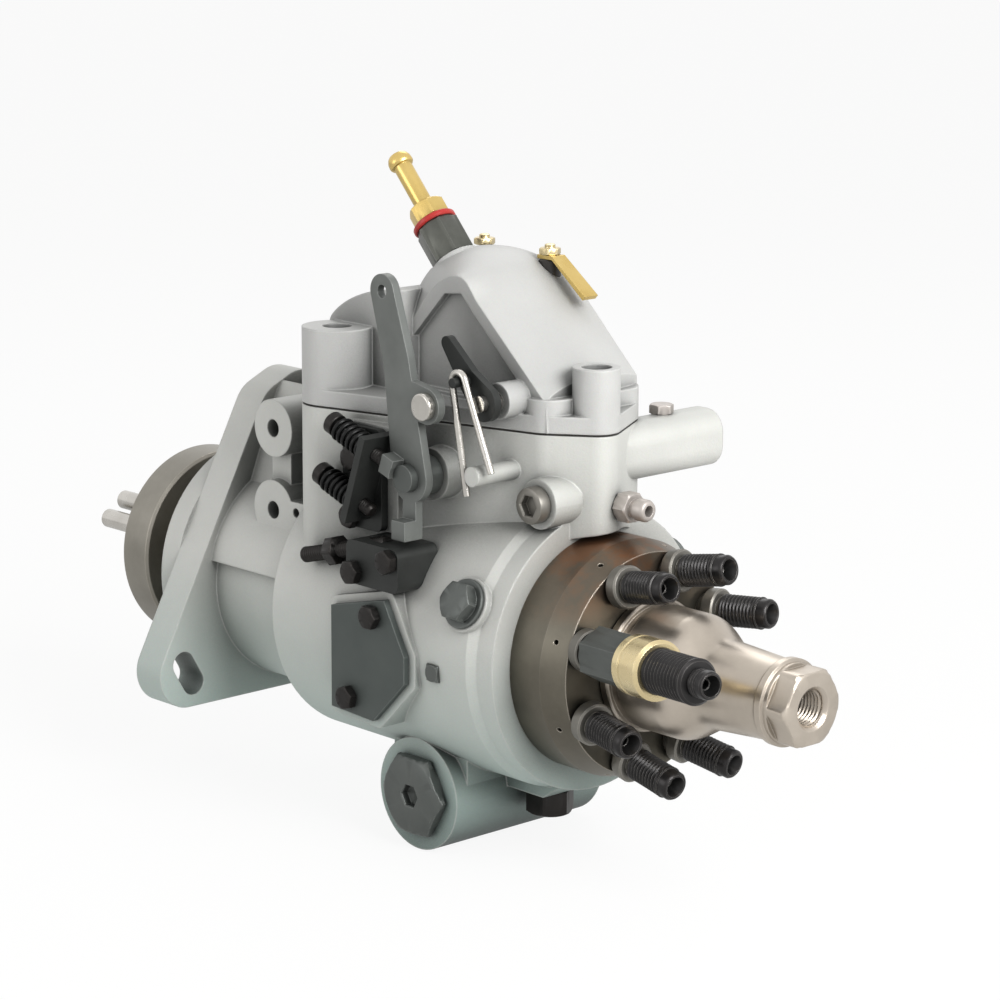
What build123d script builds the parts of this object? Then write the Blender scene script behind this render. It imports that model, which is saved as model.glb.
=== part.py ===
from build123d import *
from math import cos, radians, sin, sqrt
import os

os.makedirs("parts", exist_ok=True)

# A rotary distributor injection pump for an eight-cylinder diesel engine.
# The drive axis is X. The origin is the centre of the mounting face, +X runs
# towards the outlets and +Z is up. The levers are on the -Y side.

# Fits and gaps
run_clear = 0.04
seat_clear = 0.05
free_gap = 0.3
thread_clear = 0.05

# Mounting flange and pilot
pilot_r = 50.0
pilot_length = 10.0
flange_t = 15.0
ear_circle_r = 65.5
ear_r = 13.5
ear_count = 3
flange_corners = ((-7.5, 62.0), (7.5, 62.0))
slot_width = 10.0
slot_length = 19.0

# Barrel of the housing
neck_r = 46.0
neck_low_r = 42.5
neck_step_z = 10.0
barrel_r = 53.0
barrel_x0 = 62.0
barrel_step = 4.0
housing_end = 181.0
end_collar_r = 51.5
chamber_r = 38.0
chamber_x0 = 28.0
head_seat_r = 40.0
head_seat_x0 = 142.0

# Drive shaft, bush and seals
shaft_r = 10.0
bush_wall = 4.0
bush_x0 = 6.0
seal_r = 17.0
seal_t = 5.0
seal_pitch = 6.0
hub_r = 39.3
hub_x0 = -50.0
hub_t = 16.0
hub_neck_r = 24.0
hub_gap = 1.5
hub_bolt_circle_r = 28.0
hub_bolt_r = 4.0
hub_bolt_count = 3
dowel_r = 3.75
dowel_seat_r = 4.0
dowel_seat_depth = 14.0
dowel_tip_x = -75.0
dowel_places = ((-28.0, 9.0), (-20.0, 15.5))
shaft_end_x = 97.0
tang_half_t = 4.0
tang_half_w = 8.5
tang_length = 12.0

# Governor box and cover
joint_z = 79.5
gasket_t = 0.8
rear_boss_x = 78.0
rear_boss_y = 34.0
rear_boss_r = 13.0
rear_boss_top = 108.0
front_boss_x = 182.0
front_boss_y = -3.0
front_boss_r = 8.5
front_boss_top = 103.0
box_corner_x = 168.0
box_corner_r = 10.0
box_near_y = -12.0
box_far_y = 18.0
box_rear_x = 68.0
box_rear_y = 20.0
box_rear_r = 8.0
cavity_r = 6.0
cover_plate_t = 6.0
dome_near_y = -20.0
dome_far_y = 28.0
dome_shrink = 0.91
dome_foot_step = 1.0
dome_front_x = 175.0
dome_near_crown = ((99, 106), (106, 114.5), (121, 129), (131, 130), (139, 122), (174, 91))
dome_mid_crown = ((88, 116), (98, 129.5), (117, 136.5), (131, 134), (143, 125.5), (174, 97))
dome_far_crown = ((92, 112), (101, 126), (115, 132), (129, 130), (143, 121.5), (171, 95))
dome_sections = (
    (-20.0, dome_near_crown),
    (-4.0, dome_mid_crown),
    (17.0, dome_mid_crown),
    (28.0, dome_far_crown),
)
front_skirt_top = 92.0
shelf_round = 5.0
cover_wall = 4.0
shelf_x0 = 61.0
shelf_x1 = 104.0
shelf_near_y = -26.0
shelf_far_y = 27.0
shelf_crest = ((61, 104), (68, 112), (80, 118.5), (93, 122), (104, 123))
shelf_hollow_top = 102.0
dome_pocket = 3.0
dome_pocket_corners = (
    (104, 88),
    (104, 106),
    (121, 123.5),
    (130, 124.5),
    (136, 118.5),
    (163, 94),
    (163, 88),
)
cover_screw_r = 3.0
cover_screw_head_r = 5.2
cover_screw_head_t = 5.0
cover_screw_depth = 16.0
cover_screw_recess = 2.0

# Governor pocket behind the flange and the arm inside it
web_top_r = 13.5
web_low_r = 30.0
web_low_z = 20.0
pocket_x0 = 42.0
pocket_half_y = 9.0
pocket_top = 73.0
nut_channel_x1 = 38.0
nut_channel_half_y = 8.5
nut_channel_z = 58.0
arm_pivot_x = 49.0
arm_pivot_z = 44.0
arm_pin_r = 2.0
arm_t = 3.0
arm_half_w = 7.0
arm_top_z = 70.0
fork_half_gap = 12.0
fork_leg_w = 5.0
fork_tip_z = -4.0
fork_top_z = 25.0
governor_spring_z = 67.0
governor_coil_r = 4.0
governor_wire = 0.8
governor_pitch = 7.0

# Flyweights and thrust sleeve
weight_count = 4
sleeve_x0 = 52.5
sleeve_flange_t = 4.0
sleeve_flange_r = 20.0
sleeve_r = 13.5
weight_pivot_x = 94.0
weight_pivot_r = 24.0
weight_pin_r = 2.0
weight_half_w = 10.0
weight_ear_t = 3.0
weight_length = 28.0
weight_outer_r = 27.0
weight_inner_r = 15.5
toe_r = 12.0
toe_half_t = 2.0
cage_x0 = 98.5
cage_t = 4.0
cage_r = 34.0
cage_spigot_r = 13.0

# Rotor, plungers and cam
rotor_head_x0 = 104.0
rotor_head_x1 = 140.0
rotor_head_r = 19.0
rotor_r = 9.0
rotor_end_x = 204.0
plunger_x = 126.0
plunger_r = 4.0
plunger_inner_y = 3.0
plunger_outer_y = 14.0
shoe_t = 5.5
shoe_half_w = 6.5
roller_r = 5.0
roller_length = 15.0
roller_y = 23.5
cam_half_t = 11.0
cam_base_r = 31.0
cam_lobe_r = 6.0
cam_crest_r = 28.8
cam_lobes = 8

# Advance piston across the bottom
advance_x = 126.0
advance_z = -59.0
advance_boss_r = 21.0
advance_half_length = 37.0
advance_bore_r = 12.0
piston_half_length = 14.0
pin_ball_r = 4.0
pin_neck_r = 2.6
advance_stroke = 3.6
advance_coil_r = 8.0
advance_wire = 1.0
advance_pitch = 4.0
plug_thread_length = 9.0
plug_across_flats = 28.5
plug_head_t = 4.5
plug_socket_r = 3.8
ledge_x1 = 176.5
ledge_slope_x = 166.0
ledge_nose_z = -49.5
ledge_half_y = 12.0
ledge_bottom_z = -56.5
locating_x = 157.0
advance_web_inset = 6.0

# Hydraulic head, lock screws and outlets
head_ring_r = 43.0
head_face_x = 206.0
head_chamfer_x = 196.0
head_face_r = 40.0
lock_x = 165.0
lock_angle = 66.0
lock_screw_r = 4.0
lock_hex = 13.0
lock_hex_t = 5.0
lock_washer_r = 9.0
lock_washer_t = 1.5
lock_depth = 6.0
locating_hex = 15.5
locating_hex_t = 9.8
locating_screw_r = 5.0
outlet_count = 8
outlet_phase = 26.0
head_dimple_x = 200.5
head_dimple_r = 0.9
head_dimple_depth = 2.0
outlet_circle_r = 33.5
outlet_splay = 11.0
outlet_r = 5.85
outlet_bore_r = 1.6
outlet_cone_r = 3.6
outlet_length = 27.5
outlet_root = 12.0
outlet_collar_r = 7.6
outlet_collar_t = 5.0
outlet_seat = 1.6
long_outlet_step = 1
long_hex = 17.0
long_hex_start = 9.5
long_hex_end = 32.0
long_ring_r = 10.5
long_ring_end = 46.0
long_thread_r = 8.0
long_thread_end = 68.0
long_tip_r = 5.0
long_tip_end = 75.0
valve_x = 156.0
valve_y = 0.0
valve_r = 4.0
valve_foot_z = 12.5
valve_top_z = 48.0
valve_arm_length = 12.0
valve_arm_t = 2.5

# Transfer pump and inlet cap
liner_x0 = 190.0
liner_r = 17.0
liner_bore_r = 11.5
liner_eccentric = 1.2
blade_x0 = 191.0
blade_t = 2.0
blade_root_r = 6.0
blade_depth = 3.8
cap_base_r = 24.0
cap_base_t = 4.0
cap_groove_r = 22.0
cap_groove_t = 3.0
cap_bell_r = 22.5
cap_bell_x1 = 231.0
cap_neck_r = 16.0
cap_neck_x = 244.0
cap_ring_x = 271.0
cap_ring_r = 15.4
cap_ring_t = 3.0
cap_tip_r = 14.2
cap_end_x = 284.0
cap_hex = 25.4
cap_hex_length = 8.5
inlet_thread_r = 6.5
inlet_depth = 16.0
inlet_bore_r = 4.0
regulator_bore_r = 6.0
regulator_x0 = 212.0
regulator_length = 12.0
regulator_well = 20.0

# Bosses on the near side of the housing
tap_boss_y = -37.0
tap_bosses = ((43.8, 65.0, 11.0), (43.5, 33.5, 11.5))
tap_web_step = 4.0
tap_pad_x = (43.5, 66.0)
tap_pad_z = (25.0, 38.5)
tap_dimple = (57.0, 34.5)
tap_dimple_r = 1.8
tap_dimple_depth = 6.0
tap_hole_r = 3.4
tap_hole_depth = 15.0
round_plug_x = 176.0
round_plug_z = 56.0
round_plug_r = 6.0
round_plug_head_r = 6.6
round_plug_head_t = 5.0
round_plug_socket = 7.0
round_plug_socket_depth = 3.0
round_plug_t = 4.0
round_plug_boss_r = 9.0
round_plug_face_y = -25.0
square_plug_x = 152.0
square_plug_z = -5.0
square_plug_half = 3.0
cross_boss_x = 174.0
cross_boss_z = 69.0
cross_boss_w = 20.0
cross_boss_h = 21.0
cross_boss_end_y = 60.0
cross_boss_corner = 8.0
nipple_z = 54.0
nipple_y = 2.0
nipple_hex = 10.0
nipple_hex_t = 6.0
nipple_r = 4.0
nipple_length = 13.0
nipple_bore_r = 1.8
cap_plug_place = (172.0, 40.0)

# Timing window on the near side
timing_pad_rise = 1.5
timing_pad_y = -barrel_r - timing_pad_rise
timing_cover_t = 2.5
timing_margin = 3.0
timing_corners = ((101, 11), (101, -27), (124, -28), (141, -11), (141, -1), (130, 18))
timing_window = ((106.0, 126.0), (-14.0, 6.0))
small_screw_r = 2.0
small_screw_hex = 8.0
small_screw_hex_t = 3.5
small_screw_depth = 9.0
small_screw_reach = 8.0
block_screw_reach = 18.0
timing_screws = ((124.0, 11.0), (111.0, -21.5))

# Throttle shaft and lever
throttle_x = 134.0
throttle_z = 62.0
throttle_r = 5.0
throttle_boss_r = 9.5
throttle_boss_y = -38.0
throttle_collar_r = 7.0
throttle_end_y = -51.5
throttle_far_y = 30.0
throttle_arm_length = 11.0
throttle_arm_half_t = 3.0
lever_y = -45.0
lever_t = 3.2
lever_hub_r = 9.0
lever_top = (119.5, 127.0)
lever_mid = (127.0, 103.0)
lever_top_r = 6.2
lever_mid_r = 6.8
lever_pin_place = (143.0, 89.0)
lever_ear_r = 6.5
lever_pin_r = 5.0
lever_pin_out = 3.0
lever_top_hole_r = 2.4
lever_tail_z = 40.0
lever_tail_half = 3.5
lever_pin_shank_r = 2.5
lever_ear_root = (131.0, 91.0)
lever_nose_length = 6.0

# Bracket with the two stop screws, and the trim screw below
bracket_t = 3.0
bracket_pad_y = -43.0
bracket_pad = ((94.0, 122.0), (38.5, 77.0))
bracket_base_x = (95.0, 116.5)
bracket_base_z = (38.5, 76.0)
bracket_ear_length = 34.0
bracket_screws = ((101.5, 64.0), (100.5, 42.5))
bracket_ear_y = -58.0
stop_screw_y = -51.0
stop_slope = -19.0
stop_screw_r = 2.5
idle_tip = (124.2, 66.9)
full_tip = (117.5, 47.3)
stop_screw_length = 27.0
stop_screw_overhang = 5.5
stop_head_r = 4.2
stop_head_t = 4.0
screw_spring_r = 4.0
screw_spring_wire = 0.8
screw_spring_pitch = 2.6
trim_block_x = (112.0, 140.0)
trim_block_z = (22.0, 38.0)
trim_block_rise = 6.0
trim_block_sink = 13.0
trim_block_y = (-barrel_r - trim_block_rise, -barrel_r + trim_block_sink)
block_screws = ((116.5, 26.5), (135.5, 33.5))
trim_screw_sink = 1.5
trim_screw_y = -barrel_r + trim_screw_sink
trim_start = (80.0, 25.0)
trim_slope = 15.0
trim_screw_r = 3.0
trim_nut_hex = 10.0
trim_nut_t = 5.0

# Shut-off shaft, lever and hairpin spring
shutoff_x = 160.0
shutoff_z = 91.0
shutoff_r = 3.0
shutoff_boss_r = 6.5
shutoff_boss_length = 10.0
shutoff_inner_y = -6.0
shutoff_outer_y = -39.0
shutoff_lever_y = -34.0
shutoff_lever_t = 3.0
shutoff_hub_r = 6.5
hook_pin = (152.0, 98.0)
hook_pin_r = 1.8
hook_tip = (141.0, 110.0)
hairpin_y = -41.0
hairpin_wire = 1.3
hairpin_feet = ((156.5, 58.0), (169.0, 68.0))
hairpin_lug = (161.5, 66.0)
hairpin_lug_r = 3.6

# Solenoid, terminals and return fitting in the cover
solenoid_x = 121.0
solenoid_y = 4.0
solenoid_r = 11.0
solenoid_z0 = 104.0
solenoid_z1 = 127.0
solenoid_top_z = 130.0
solenoid_spigot_r = 5.0
armature_t = 3.0
armature_r = 9.0
terminal_x = (101.0, 136.0)
terminal_y = 18.0
terminal_r = 2.0
terminal_sleeve_r = 4.0
terminal_foot_z = 121.0
terminal_sleeve_z = 134.2
terminal_top_z = 139.5
terminal_nut = 7.0
terminal_nut_t = 2.5
terminal_blade_t = 1.4
terminal_blade_w = 6.5
terminal_blade_tip = (156.3, 121.5)
return_base = (104.95, 131.6)
return_lean = 42.5
return_y = 0.0
return_boss_r = 9.5
adaptor_hex = 15.0
adaptor_length = 15.8
adaptor_spigot_r = 5.0
adaptor_spigot = 5.0
washer_r = 8.4
washer_t = 2.2
barb_hex = 12.5
barb_hex_t = 7.0
barb_r = 3.5
barb_length = 23.0
barb_bulge_r = 4.7
barb_bulge_t = 3.0
barb_cone_t = 2.0
fitting_bore_r = 2.0


def across(x):
    """A plane square to the drive axis; its own axes run along +Y and +Z."""
    return Plane(origin=(x, 0, 0), x_dir=(0, 1, 0), z_dir=(1, 0, 0))


def facing_near(y):
    """A plane square to Y that faces the lever side; its axes run along +X and +Z."""
    return Plane(origin=(0, y, 0), x_dir=(1, 0, 0), z_dir=(0, -1, 0))


def level(z):
    """A level plane at height z."""
    return Plane.XY.offset(z)


def along(origin, direction):
    """A plane at origin whose normal points along direction."""
    sideways = (0, 1, 0) if abs(direction[1]) < 0.9 else (1, 0, 0)
    return Plane(origin=origin, x_dir=sideways, z_dir=direction)


def finish(part, name):
    """Label a finished piece and write it."""
    part.label = name
    export_step(part, f"parts/{name}.step")


def outlet_direction(step):
    """The leaning axis of one outlet, counted from the top towards the levers."""
    turn = radians(360 / outlet_count * step + outlet_phase)
    lean = radians(outlet_splay)
    return (cos(lean), -sin(lean) * sin(turn), sin(lean) * cos(turn))


def outlet_plane(step, distance):
    """A plane square to an outlet, at a distance out from the head's face."""
    turn = radians(360 / outlet_count * step + outlet_phase)
    axis = outlet_direction(step)
    foot = (head_face_x, -outlet_circle_r * sin(turn), outlet_circle_r * cos(turn))
    origin = tuple(f + distance * a for f, a in zip(foot, axis))
    return along(origin, axis)


def radial_plane(x, angle, distance):
    """A plane square to a radius, the angle counted from the top towards the levers."""
    turn = radians(angle)
    axis = (0, -sin(turn), cos(turn))
    return Plane(origin=(x, distance * axis[1], distance * axis[2]), x_dir=(1, 0, 0), z_dir=axis)


def box_outline(inset):
    """The plan of the governor box and its cover, as a hull of corner circles."""
    with BuildSketch() as outline:
        with Locations((box_corner_x, box_near_y), (box_corner_x, box_far_y)):
            Circle(box_corner_r - inset)
        with Locations((rear_boss_x, -rear_boss_y), (rear_boss_x, rear_boss_y)):
            Circle(rear_boss_r - inset)
        with Locations((box_rear_x, -box_rear_y), (box_rear_x, box_rear_y)):
            Circle(box_rear_r - inset)
        with Locations((front_boss_x, front_boss_y)):
            Circle(front_boss_r - inset)
        make_hull()
    return outline.sketch


def box_cavity():
    """The plan of the governor chamber inside the box."""
    with BuildSketch() as outline:
        with Locations((box_rear_x + cavity_r, -box_rear_y), (box_rear_x + cavity_r, box_rear_y)):
            Circle(cavity_r - 1)
        with Locations((box_corner_x - cavity_r, box_near_y + 1), (box_corner_x - cavity_r, box_far_y - 1)):
            Circle(cavity_r)
        make_hull()
    return outline.sketch


def dome_faces(shrink, near_y, far_y):
    """Sections of the cover's crowned dome across the pump; shrunk for the hollow inside."""
    faces = []
    foot_z = joint_z + gasket_t
    middle_x = (shelf_x1 + dome_front_x) / 2
    for number, (section_y, crown) in enumerate(dome_sections):
        y = near_y if number == 0 else far_y if number == len(dome_sections) - 1 else section_y
        spots = [(middle_x + shrink * (x - middle_x), foot_z + shrink * (z - foot_z)) for x, z in crown]
        rise = (spots[1][0] - spots[0][0], spots[1][1] - spots[0][1])
        slope = (spots[-1][0] - spots[-2][0], spots[-1][1] - spots[-2][1])
        with BuildSketch(facing_near(y)) as section:
            with BuildLine():
                Line((spots[-1][0] + dome_foot_step, foot_z), (spots[0][0], foot_z))
                Line((spots[0][0], foot_z), spots[0])
                Spline(*spots[:-1], tangents=(rise, slope))
                Line(spots[-2], spots[-1])
                Line(spots[-1], (spots[-1][0] + dome_foot_step, foot_z))
            make_face()
        faces.append(section.sketch.face())
    return faces


def hexagon(across_flats, mode=Mode.ADD):
    """A six-sided profile, sized over its flats."""
    return RegularPolygon(across_flats / 2, 6, major_radius=False, mode=mode)


def return_plane(distance):
    """A plane square to the leaning return fitting, at a distance out from its seat."""
    lean = radians(return_lean)
    axis = (-sin(lean), 0, cos(lean))
    origin = (return_base[0] + distance * axis[0], return_y, return_base[1] + distance * axis[2])
    return along(origin, axis)


def weight_plane(step, offset_along):
    """A plane through one flyweight, lengthways and outwards, moved along its pivot pin."""
    turn = radians(360 / weight_count * step)
    side = (0, -cos(turn), -sin(turn))
    origin = tuple(offset_along * s for s in side)
    return Plane(origin=origin, x_dir=(1, 0, 0), z_dir=side)


cover_z0 = joint_z + gasket_t
screw_places = (
    (rear_boss_x, -rear_boss_y, rear_boss_top),
    (rear_boss_x, rear_boss_y, rear_boss_top),
    (front_boss_x, front_boss_y, front_boss_top),
)
lock_angles = (lock_angle, -lock_angle)
bush_r = shaft_r + bush_wall
bush_x1 = chamber_x0
seal_x0 = -pilot_length + 1
sleeve_end_x = weight_pivot_x - toe_half_t - free_gap
short_outlets = [step for step in range(outlet_count) if step != long_outlet_step]

# Housing: flange, barrel, governor box and every boss, in one casting
with BuildPart() as pump_housing:
    with BuildSketch(across(0)):
        with PolarLocations(ear_circle_r, ear_count, start_angle=90):
            Circle(ear_r)
        with Locations(*flange_corners):
            Circle(ear_r)
        make_hull()
    extrude(amount=flange_t)
    with BuildSketch(across(-pilot_length)):
        Circle(pilot_r)
    extrude(amount=pilot_length)
    with BuildSketch(Plane.XZ) as barrel_section:
        with BuildLine():
            Polyline(
                (flange_t / 2, 0),
                (flange_t / 2, neck_low_r),
                (barrel_x0 - barrel_step, neck_low_r),
                (barrel_x0, barrel_r),
                (housing_end - 3 * barrel_step, barrel_r),
                (housing_end - 2 * barrel_step, end_collar_r),
                (housing_end, end_collar_r),
                (housing_end, 0),
                close=True,
            )
        make_face()
    revolve(axis=Axis.X)
    # the neck is fuller in its upper part
    with BuildSketch(across(flange_t / 2)):
        Circle(neck_r)
        with Locations((0, neck_step_z - neck_r)):
            Rectangle(2 * neck_r, 2 * neck_r, mode=Mode.SUBTRACT)
    extrude(amount=barrel_x0 - flange_t / 2)
    # the web between the flange's top ear and the governor box
    with BuildSketch(across(flange_t / 2)):
        with Locations((0, ear_circle_r)):
            Circle(web_top_r)
        with Locations((0, web_low_z)):
            Circle(web_low_r)
        make_hull()
    extrude(amount=barrel_x0 + box_rear_r - flange_t / 2)
    with BuildSketch(level(0)):
        add(box_outline(0))
    extrude(amount=joint_z)
    # the boss of the advance piston, its web and the ledge towards the head
    with BuildSketch(facing_near(advance_half_length)):
        with Locations((advance_x, advance_z)):
            Circle(advance_boss_r)
    extrude(amount=2 * advance_half_length)
    with BuildSketch(facing_near(advance_half_length - advance_web_inset)):
        with Locations((advance_x, advance_z / 2 - barrel_r / 4)):
            Rectangle(2 * advance_boss_r - 2, barrel_r / 2)
    extrude(amount=2 * advance_half_length - 2 * advance_web_inset)
    with BuildSketch(facing_near(ledge_half_y)):
        with BuildLine():
            Polyline(
                (advance_x, -head_seat_r),
                (ledge_x1, -head_seat_r),
                (ledge_x1, ledge_nose_z),
                (ledge_slope_x, ledge_bottom_z),
                (advance_x, ledge_bottom_z),
                close=True,
            )
        make_face()
    extrude(amount=2 * ledge_half_y)
    # tapped bosses beside the flange
    for boss_x, boss_z, boss_r in tap_bosses:
        with BuildSketch(facing_near(0)):
            with Locations((boss_x, boss_z)):
                Circle(boss_r)
        extrude(amount=-tap_boss_y)
    with BuildSketch(facing_near(0)):
        with Locations((tap_bosses[0][0], (tap_bosses[0][1] + tap_bosses[1][1]) / 2)):
            Rectangle(tap_bosses[0][2], tap_bosses[0][1] - tap_bosses[1][1])
    extrude(amount=-tap_boss_y - tap_web_step)
    with BuildSketch(facing_near(0)):
        with Locations((sum(tap_pad_x) / 2, sum(tap_pad_z) / 2)):
            Rectangle(tap_pad_x[1] - tap_pad_x[0], tap_pad_z[1] - tap_pad_z[0])
    extrude(amount=-tap_boss_y)
    # round plug boss, throttle shaft boss, spring lug and bracket pad
    for place, boss_r, face_y in (
        ((round_plug_x, round_plug_z), round_plug_boss_r, round_plug_face_y),
        ((throttle_x, throttle_z), throttle_boss_r, throttle_boss_y),
        (hairpin_lug, hairpin_lug_r, hairpin_y - 2 * hairpin_wire),
    ):
        with BuildSketch(facing_near(box_near_y)):
            with Locations(place):
                Circle(boss_r)
        extrude(amount=box_near_y - face_y)
    with BuildSketch(facing_near(box_near_y)):
        with Locations((sum(bracket_pad[0]) / 2, sum(bracket_pad[1]) / 2)):
            RectangleRounded(
                bracket_pad[0][1] - bracket_pad[0][0], bracket_pad[1][1] - bracket_pad[1][0], 4
            )
    extrude(amount=box_near_y - bracket_pad_y)
    # timing window pad and the pads of the lock screws
    with BuildSketch(facing_near(-head_seat_r)):
        with BuildLine():
            Polyline(*timing_corners, close=True)
        make_face()
        offset(amount=timing_margin)
    extrude(amount=-head_seat_r - timing_pad_y)
    for angle in lock_angles:
        with BuildSketch(radial_plane(lock_x, angle, head_seat_r + 2)):
            Circle(lock_washer_r + 1)
        extrude(amount=barrel_r + 1 - head_seat_r - 2)
    # cross boss on the far side
    with BuildSketch(facing_near(cross_boss_end_y)):
        with Locations((cross_boss_x, cross_boss_z)):
            RectangleRounded(cross_boss_w, cross_boss_h, cross_boss_corner)
    extrude(amount=cross_boss_end_y - box_far_y + box_corner_r)
    # main chamber, head seat and shaft bores
    with BuildSketch(across(chamber_x0)):
        Circle(chamber_r)
    extrude(amount=head_seat_x0 - chamber_x0, mode=Mode.SUBTRACT)
    with BuildSketch(across(head_seat_x0)):
        Circle(head_seat_r)
    extrude(amount=housing_end - head_seat_x0, mode=Mode.SUBTRACT)
    with BuildSketch(across(housing_end)):
        Circle(head_ring_r + 2)
    extrude(amount=front_boss_x + front_boss_r - housing_end + 2, mode=Mode.SUBTRACT)
    with BuildSketch(across(bush_x0)):
        Circle(bush_r + seat_clear)
    extrude(amount=chamber_x0 - bush_x0, mode=Mode.SUBTRACT)
    with BuildSketch(across(-pilot_length)):
        Circle(seal_r + seat_clear)
    extrude(amount=bush_x0 + pilot_length, mode=Mode.SUBTRACT)
    # governor chamber and the pocket for the governor arm
    with BuildSketch(level(0)):
        add(box_cavity())
    extrude(amount=joint_z, mode=Mode.SUBTRACT)
    with BuildSketch(level(0)):
        with Locations(((pocket_x0 + box_rear_x) / 2 + 4, 0)):
            Rectangle(box_rear_x - pocket_x0 + 8, 2 * pocket_half_y)
    extrude(amount=pocket_top, mode=Mode.SUBTRACT)
    # advance bore and the slot for the advance pin
    with BuildSketch(facing_near(advance_half_length)):
        with Locations((advance_x, advance_z)):
            Circle(advance_bore_r)
    extrude(amount=2 * advance_half_length, mode=Mode.SUBTRACT)
    with BuildSketch(level(advance_z + advance_bore_r / 2)):
        with Locations((advance_x, 0)):
            Rectangle(2 * pin_ball_r + 4, 2 * (pin_ball_r + advance_stroke) + 4)
    extrude(amount=-advance_z - advance_bore_r / 2 - chamber_r + 4, mode=Mode.SUBTRACT)
    # timing window
    with BuildSketch(facing_near(-head_seat_r + 10)):
        with Locations((sum(timing_window[0]) / 2, sum(timing_window[1]) / 2)):
            Rectangle(timing_window[0][1] - timing_window[0][0], timing_window[1][1] - timing_window[1][0])
    extrude(amount=-head_seat_r + 10 - timing_pad_y, mode=Mode.SUBTRACT)
    # holes: flange slots, cover screws, lock screws, shafts, plugs and pins
    with BuildSketch(across(0)):
        with PolarLocations(ear_circle_r, ear_count, start_angle=90):
            SlotOverall(slot_length, slot_width, rotation=90)
    extrude(amount=flange_t, mode=Mode.SUBTRACT)
    with BuildSketch(level(nut_channel_z)):
        with Locations(((flange_t + nut_channel_x1) / 2, 0)):
            Rectangle(nut_channel_x1 - flange_t, 2 * nut_channel_half_y)
    extrude(amount=web_top_r + ear_circle_r - nut_channel_z, mode=Mode.SUBTRACT)
    for screw_x, screw_y, _ in screw_places:
        with BuildSketch(level(joint_z - cover_screw_depth)):
            with Locations((screw_x, screw_y)):
                Circle(cover_screw_r + thread_clear)
        extrude(amount=cover_screw_depth, mode=Mode.SUBTRACT)
    for angle in lock_angles:
        with BuildSketch(radial_plane(lock_x, angle, head_seat_r - 2)):
            Circle(lock_screw_r + thread_clear)
        extrude(amount=barrel_r - head_seat_r + 4, mode=Mode.SUBTRACT)
    with BuildSketch(level(ledge_bottom_z)):
        with Locations((locating_x, 0)):
            Circle(locating_screw_r + thread_clear)
    extrude(amount=-ledge_bottom_z - head_seat_r + 2, mode=Mode.SUBTRACT)
    for boss_x, boss_z, _ in tap_bosses:
        with BuildSketch(facing_near(tap_boss_y + tap_hole_depth)):
            with Locations((boss_x, boss_z)):
                Circle(tap_hole_r)
        extrude(amount=tap_hole_depth, mode=Mode.SUBTRACT)
    with BuildSketch(facing_near(tap_boss_y + tap_dimple_depth)):
        with Locations(tap_dimple):
            Circle(tap_dimple_r)
    extrude(amount=tap_dimple_depth, mode=Mode.SUBTRACT)
    with BuildSketch(facing_near(throttle_far_y + free_gap)):
        with Locations((throttle_x, throttle_z)):
            Circle(throttle_r + run_clear)
    extrude(amount=throttle_far_y + free_gap - throttle_boss_y, mode=Mode.SUBTRACT)
    with BuildSketch(facing_near(round_plug_face_y + round_plug_t)):
        with Locations((round_plug_x, round_plug_z)):
            Circle(round_plug_r + thread_clear)
    extrude(amount=round_plug_t, mode=Mode.SUBTRACT)
    with BuildSketch(facing_near(-barrel_r + round_plug_t)):
        with Locations((square_plug_x, square_plug_z)):
            Rectangle(2 * square_plug_half + 2 * thread_clear, 2 * square_plug_half + 2 * thread_clear)
    extrude(amount=round_plug_t, mode=Mode.SUBTRACT)
    for places, face_y in ((timing_screws, timing_pad_y), (bracket_screws, bracket_pad_y)):
        with BuildSketch(facing_near(face_y + small_screw_depth)):
            with Locations(*places):
                Circle(small_screw_r + thread_clear)
        extrude(amount=small_screw_depth, mode=Mode.SUBTRACT)
    with BuildSketch(facing_near(trim_block_y[0] + block_screw_reach + 1)):
        with Locations(*block_screws):
            Circle(small_screw_r + thread_clear)
    extrude(amount=block_screw_reach + 1, mode=Mode.SUBTRACT)
    with BuildSketch(across(housing_end - 2)):
        with Locations((nipple_y, nipple_z)):
            Circle(nipple_r - 0.5 + thread_clear)
    extrude(amount=front_boss_x + front_boss_r - housing_end + 3, mode=Mode.SUBTRACT)
    with BuildSketch(facing_near(pocket_half_y + 5)):
        with Locations((arm_pivot_x, arm_pivot_z)):
            Circle(arm_pin_r + seat_clear)
    extrude(amount=2 * pocket_half_y + 10, mode=Mode.SUBTRACT)
finish(pump_housing.part, "pump_housing")

# Governor cover: a hollow crowned dome on a flat flange, with three screw bosses
dome_inner_y = dome_near_y + dome_pocket + cover_wall
with BuildPart() as cover_hollow:
    loft(sections=dome_faces(dome_shrink, dome_inner_y, dome_far_y - cover_wall))

with BuildPart() as cover_shelf:
    with BuildSketch(facing_near(shelf_near_y)):
        with BuildLine():
            crest = Spline(*shelf_crest)
            Polyline(crest @ 1, (shelf_x1, cover_z0), (shelf_x0, cover_z0), crest @ 0)
        make_face()
    extrude(amount=shelf_near_y - shelf_far_y)
    with BuildSketch(level(cover_z0)):
        with Locations(((shelf_x0 + shelf_x1) / 2, (shelf_near_y + shelf_far_y) / 2)):
            RectangleRounded(shelf_x1 - shelf_x0, shelf_far_y - shelf_near_y, shelf_round)
    extrude(amount=shelf_crest[-1][1] - cover_z0, mode=Mode.INTERSECT)

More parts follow.
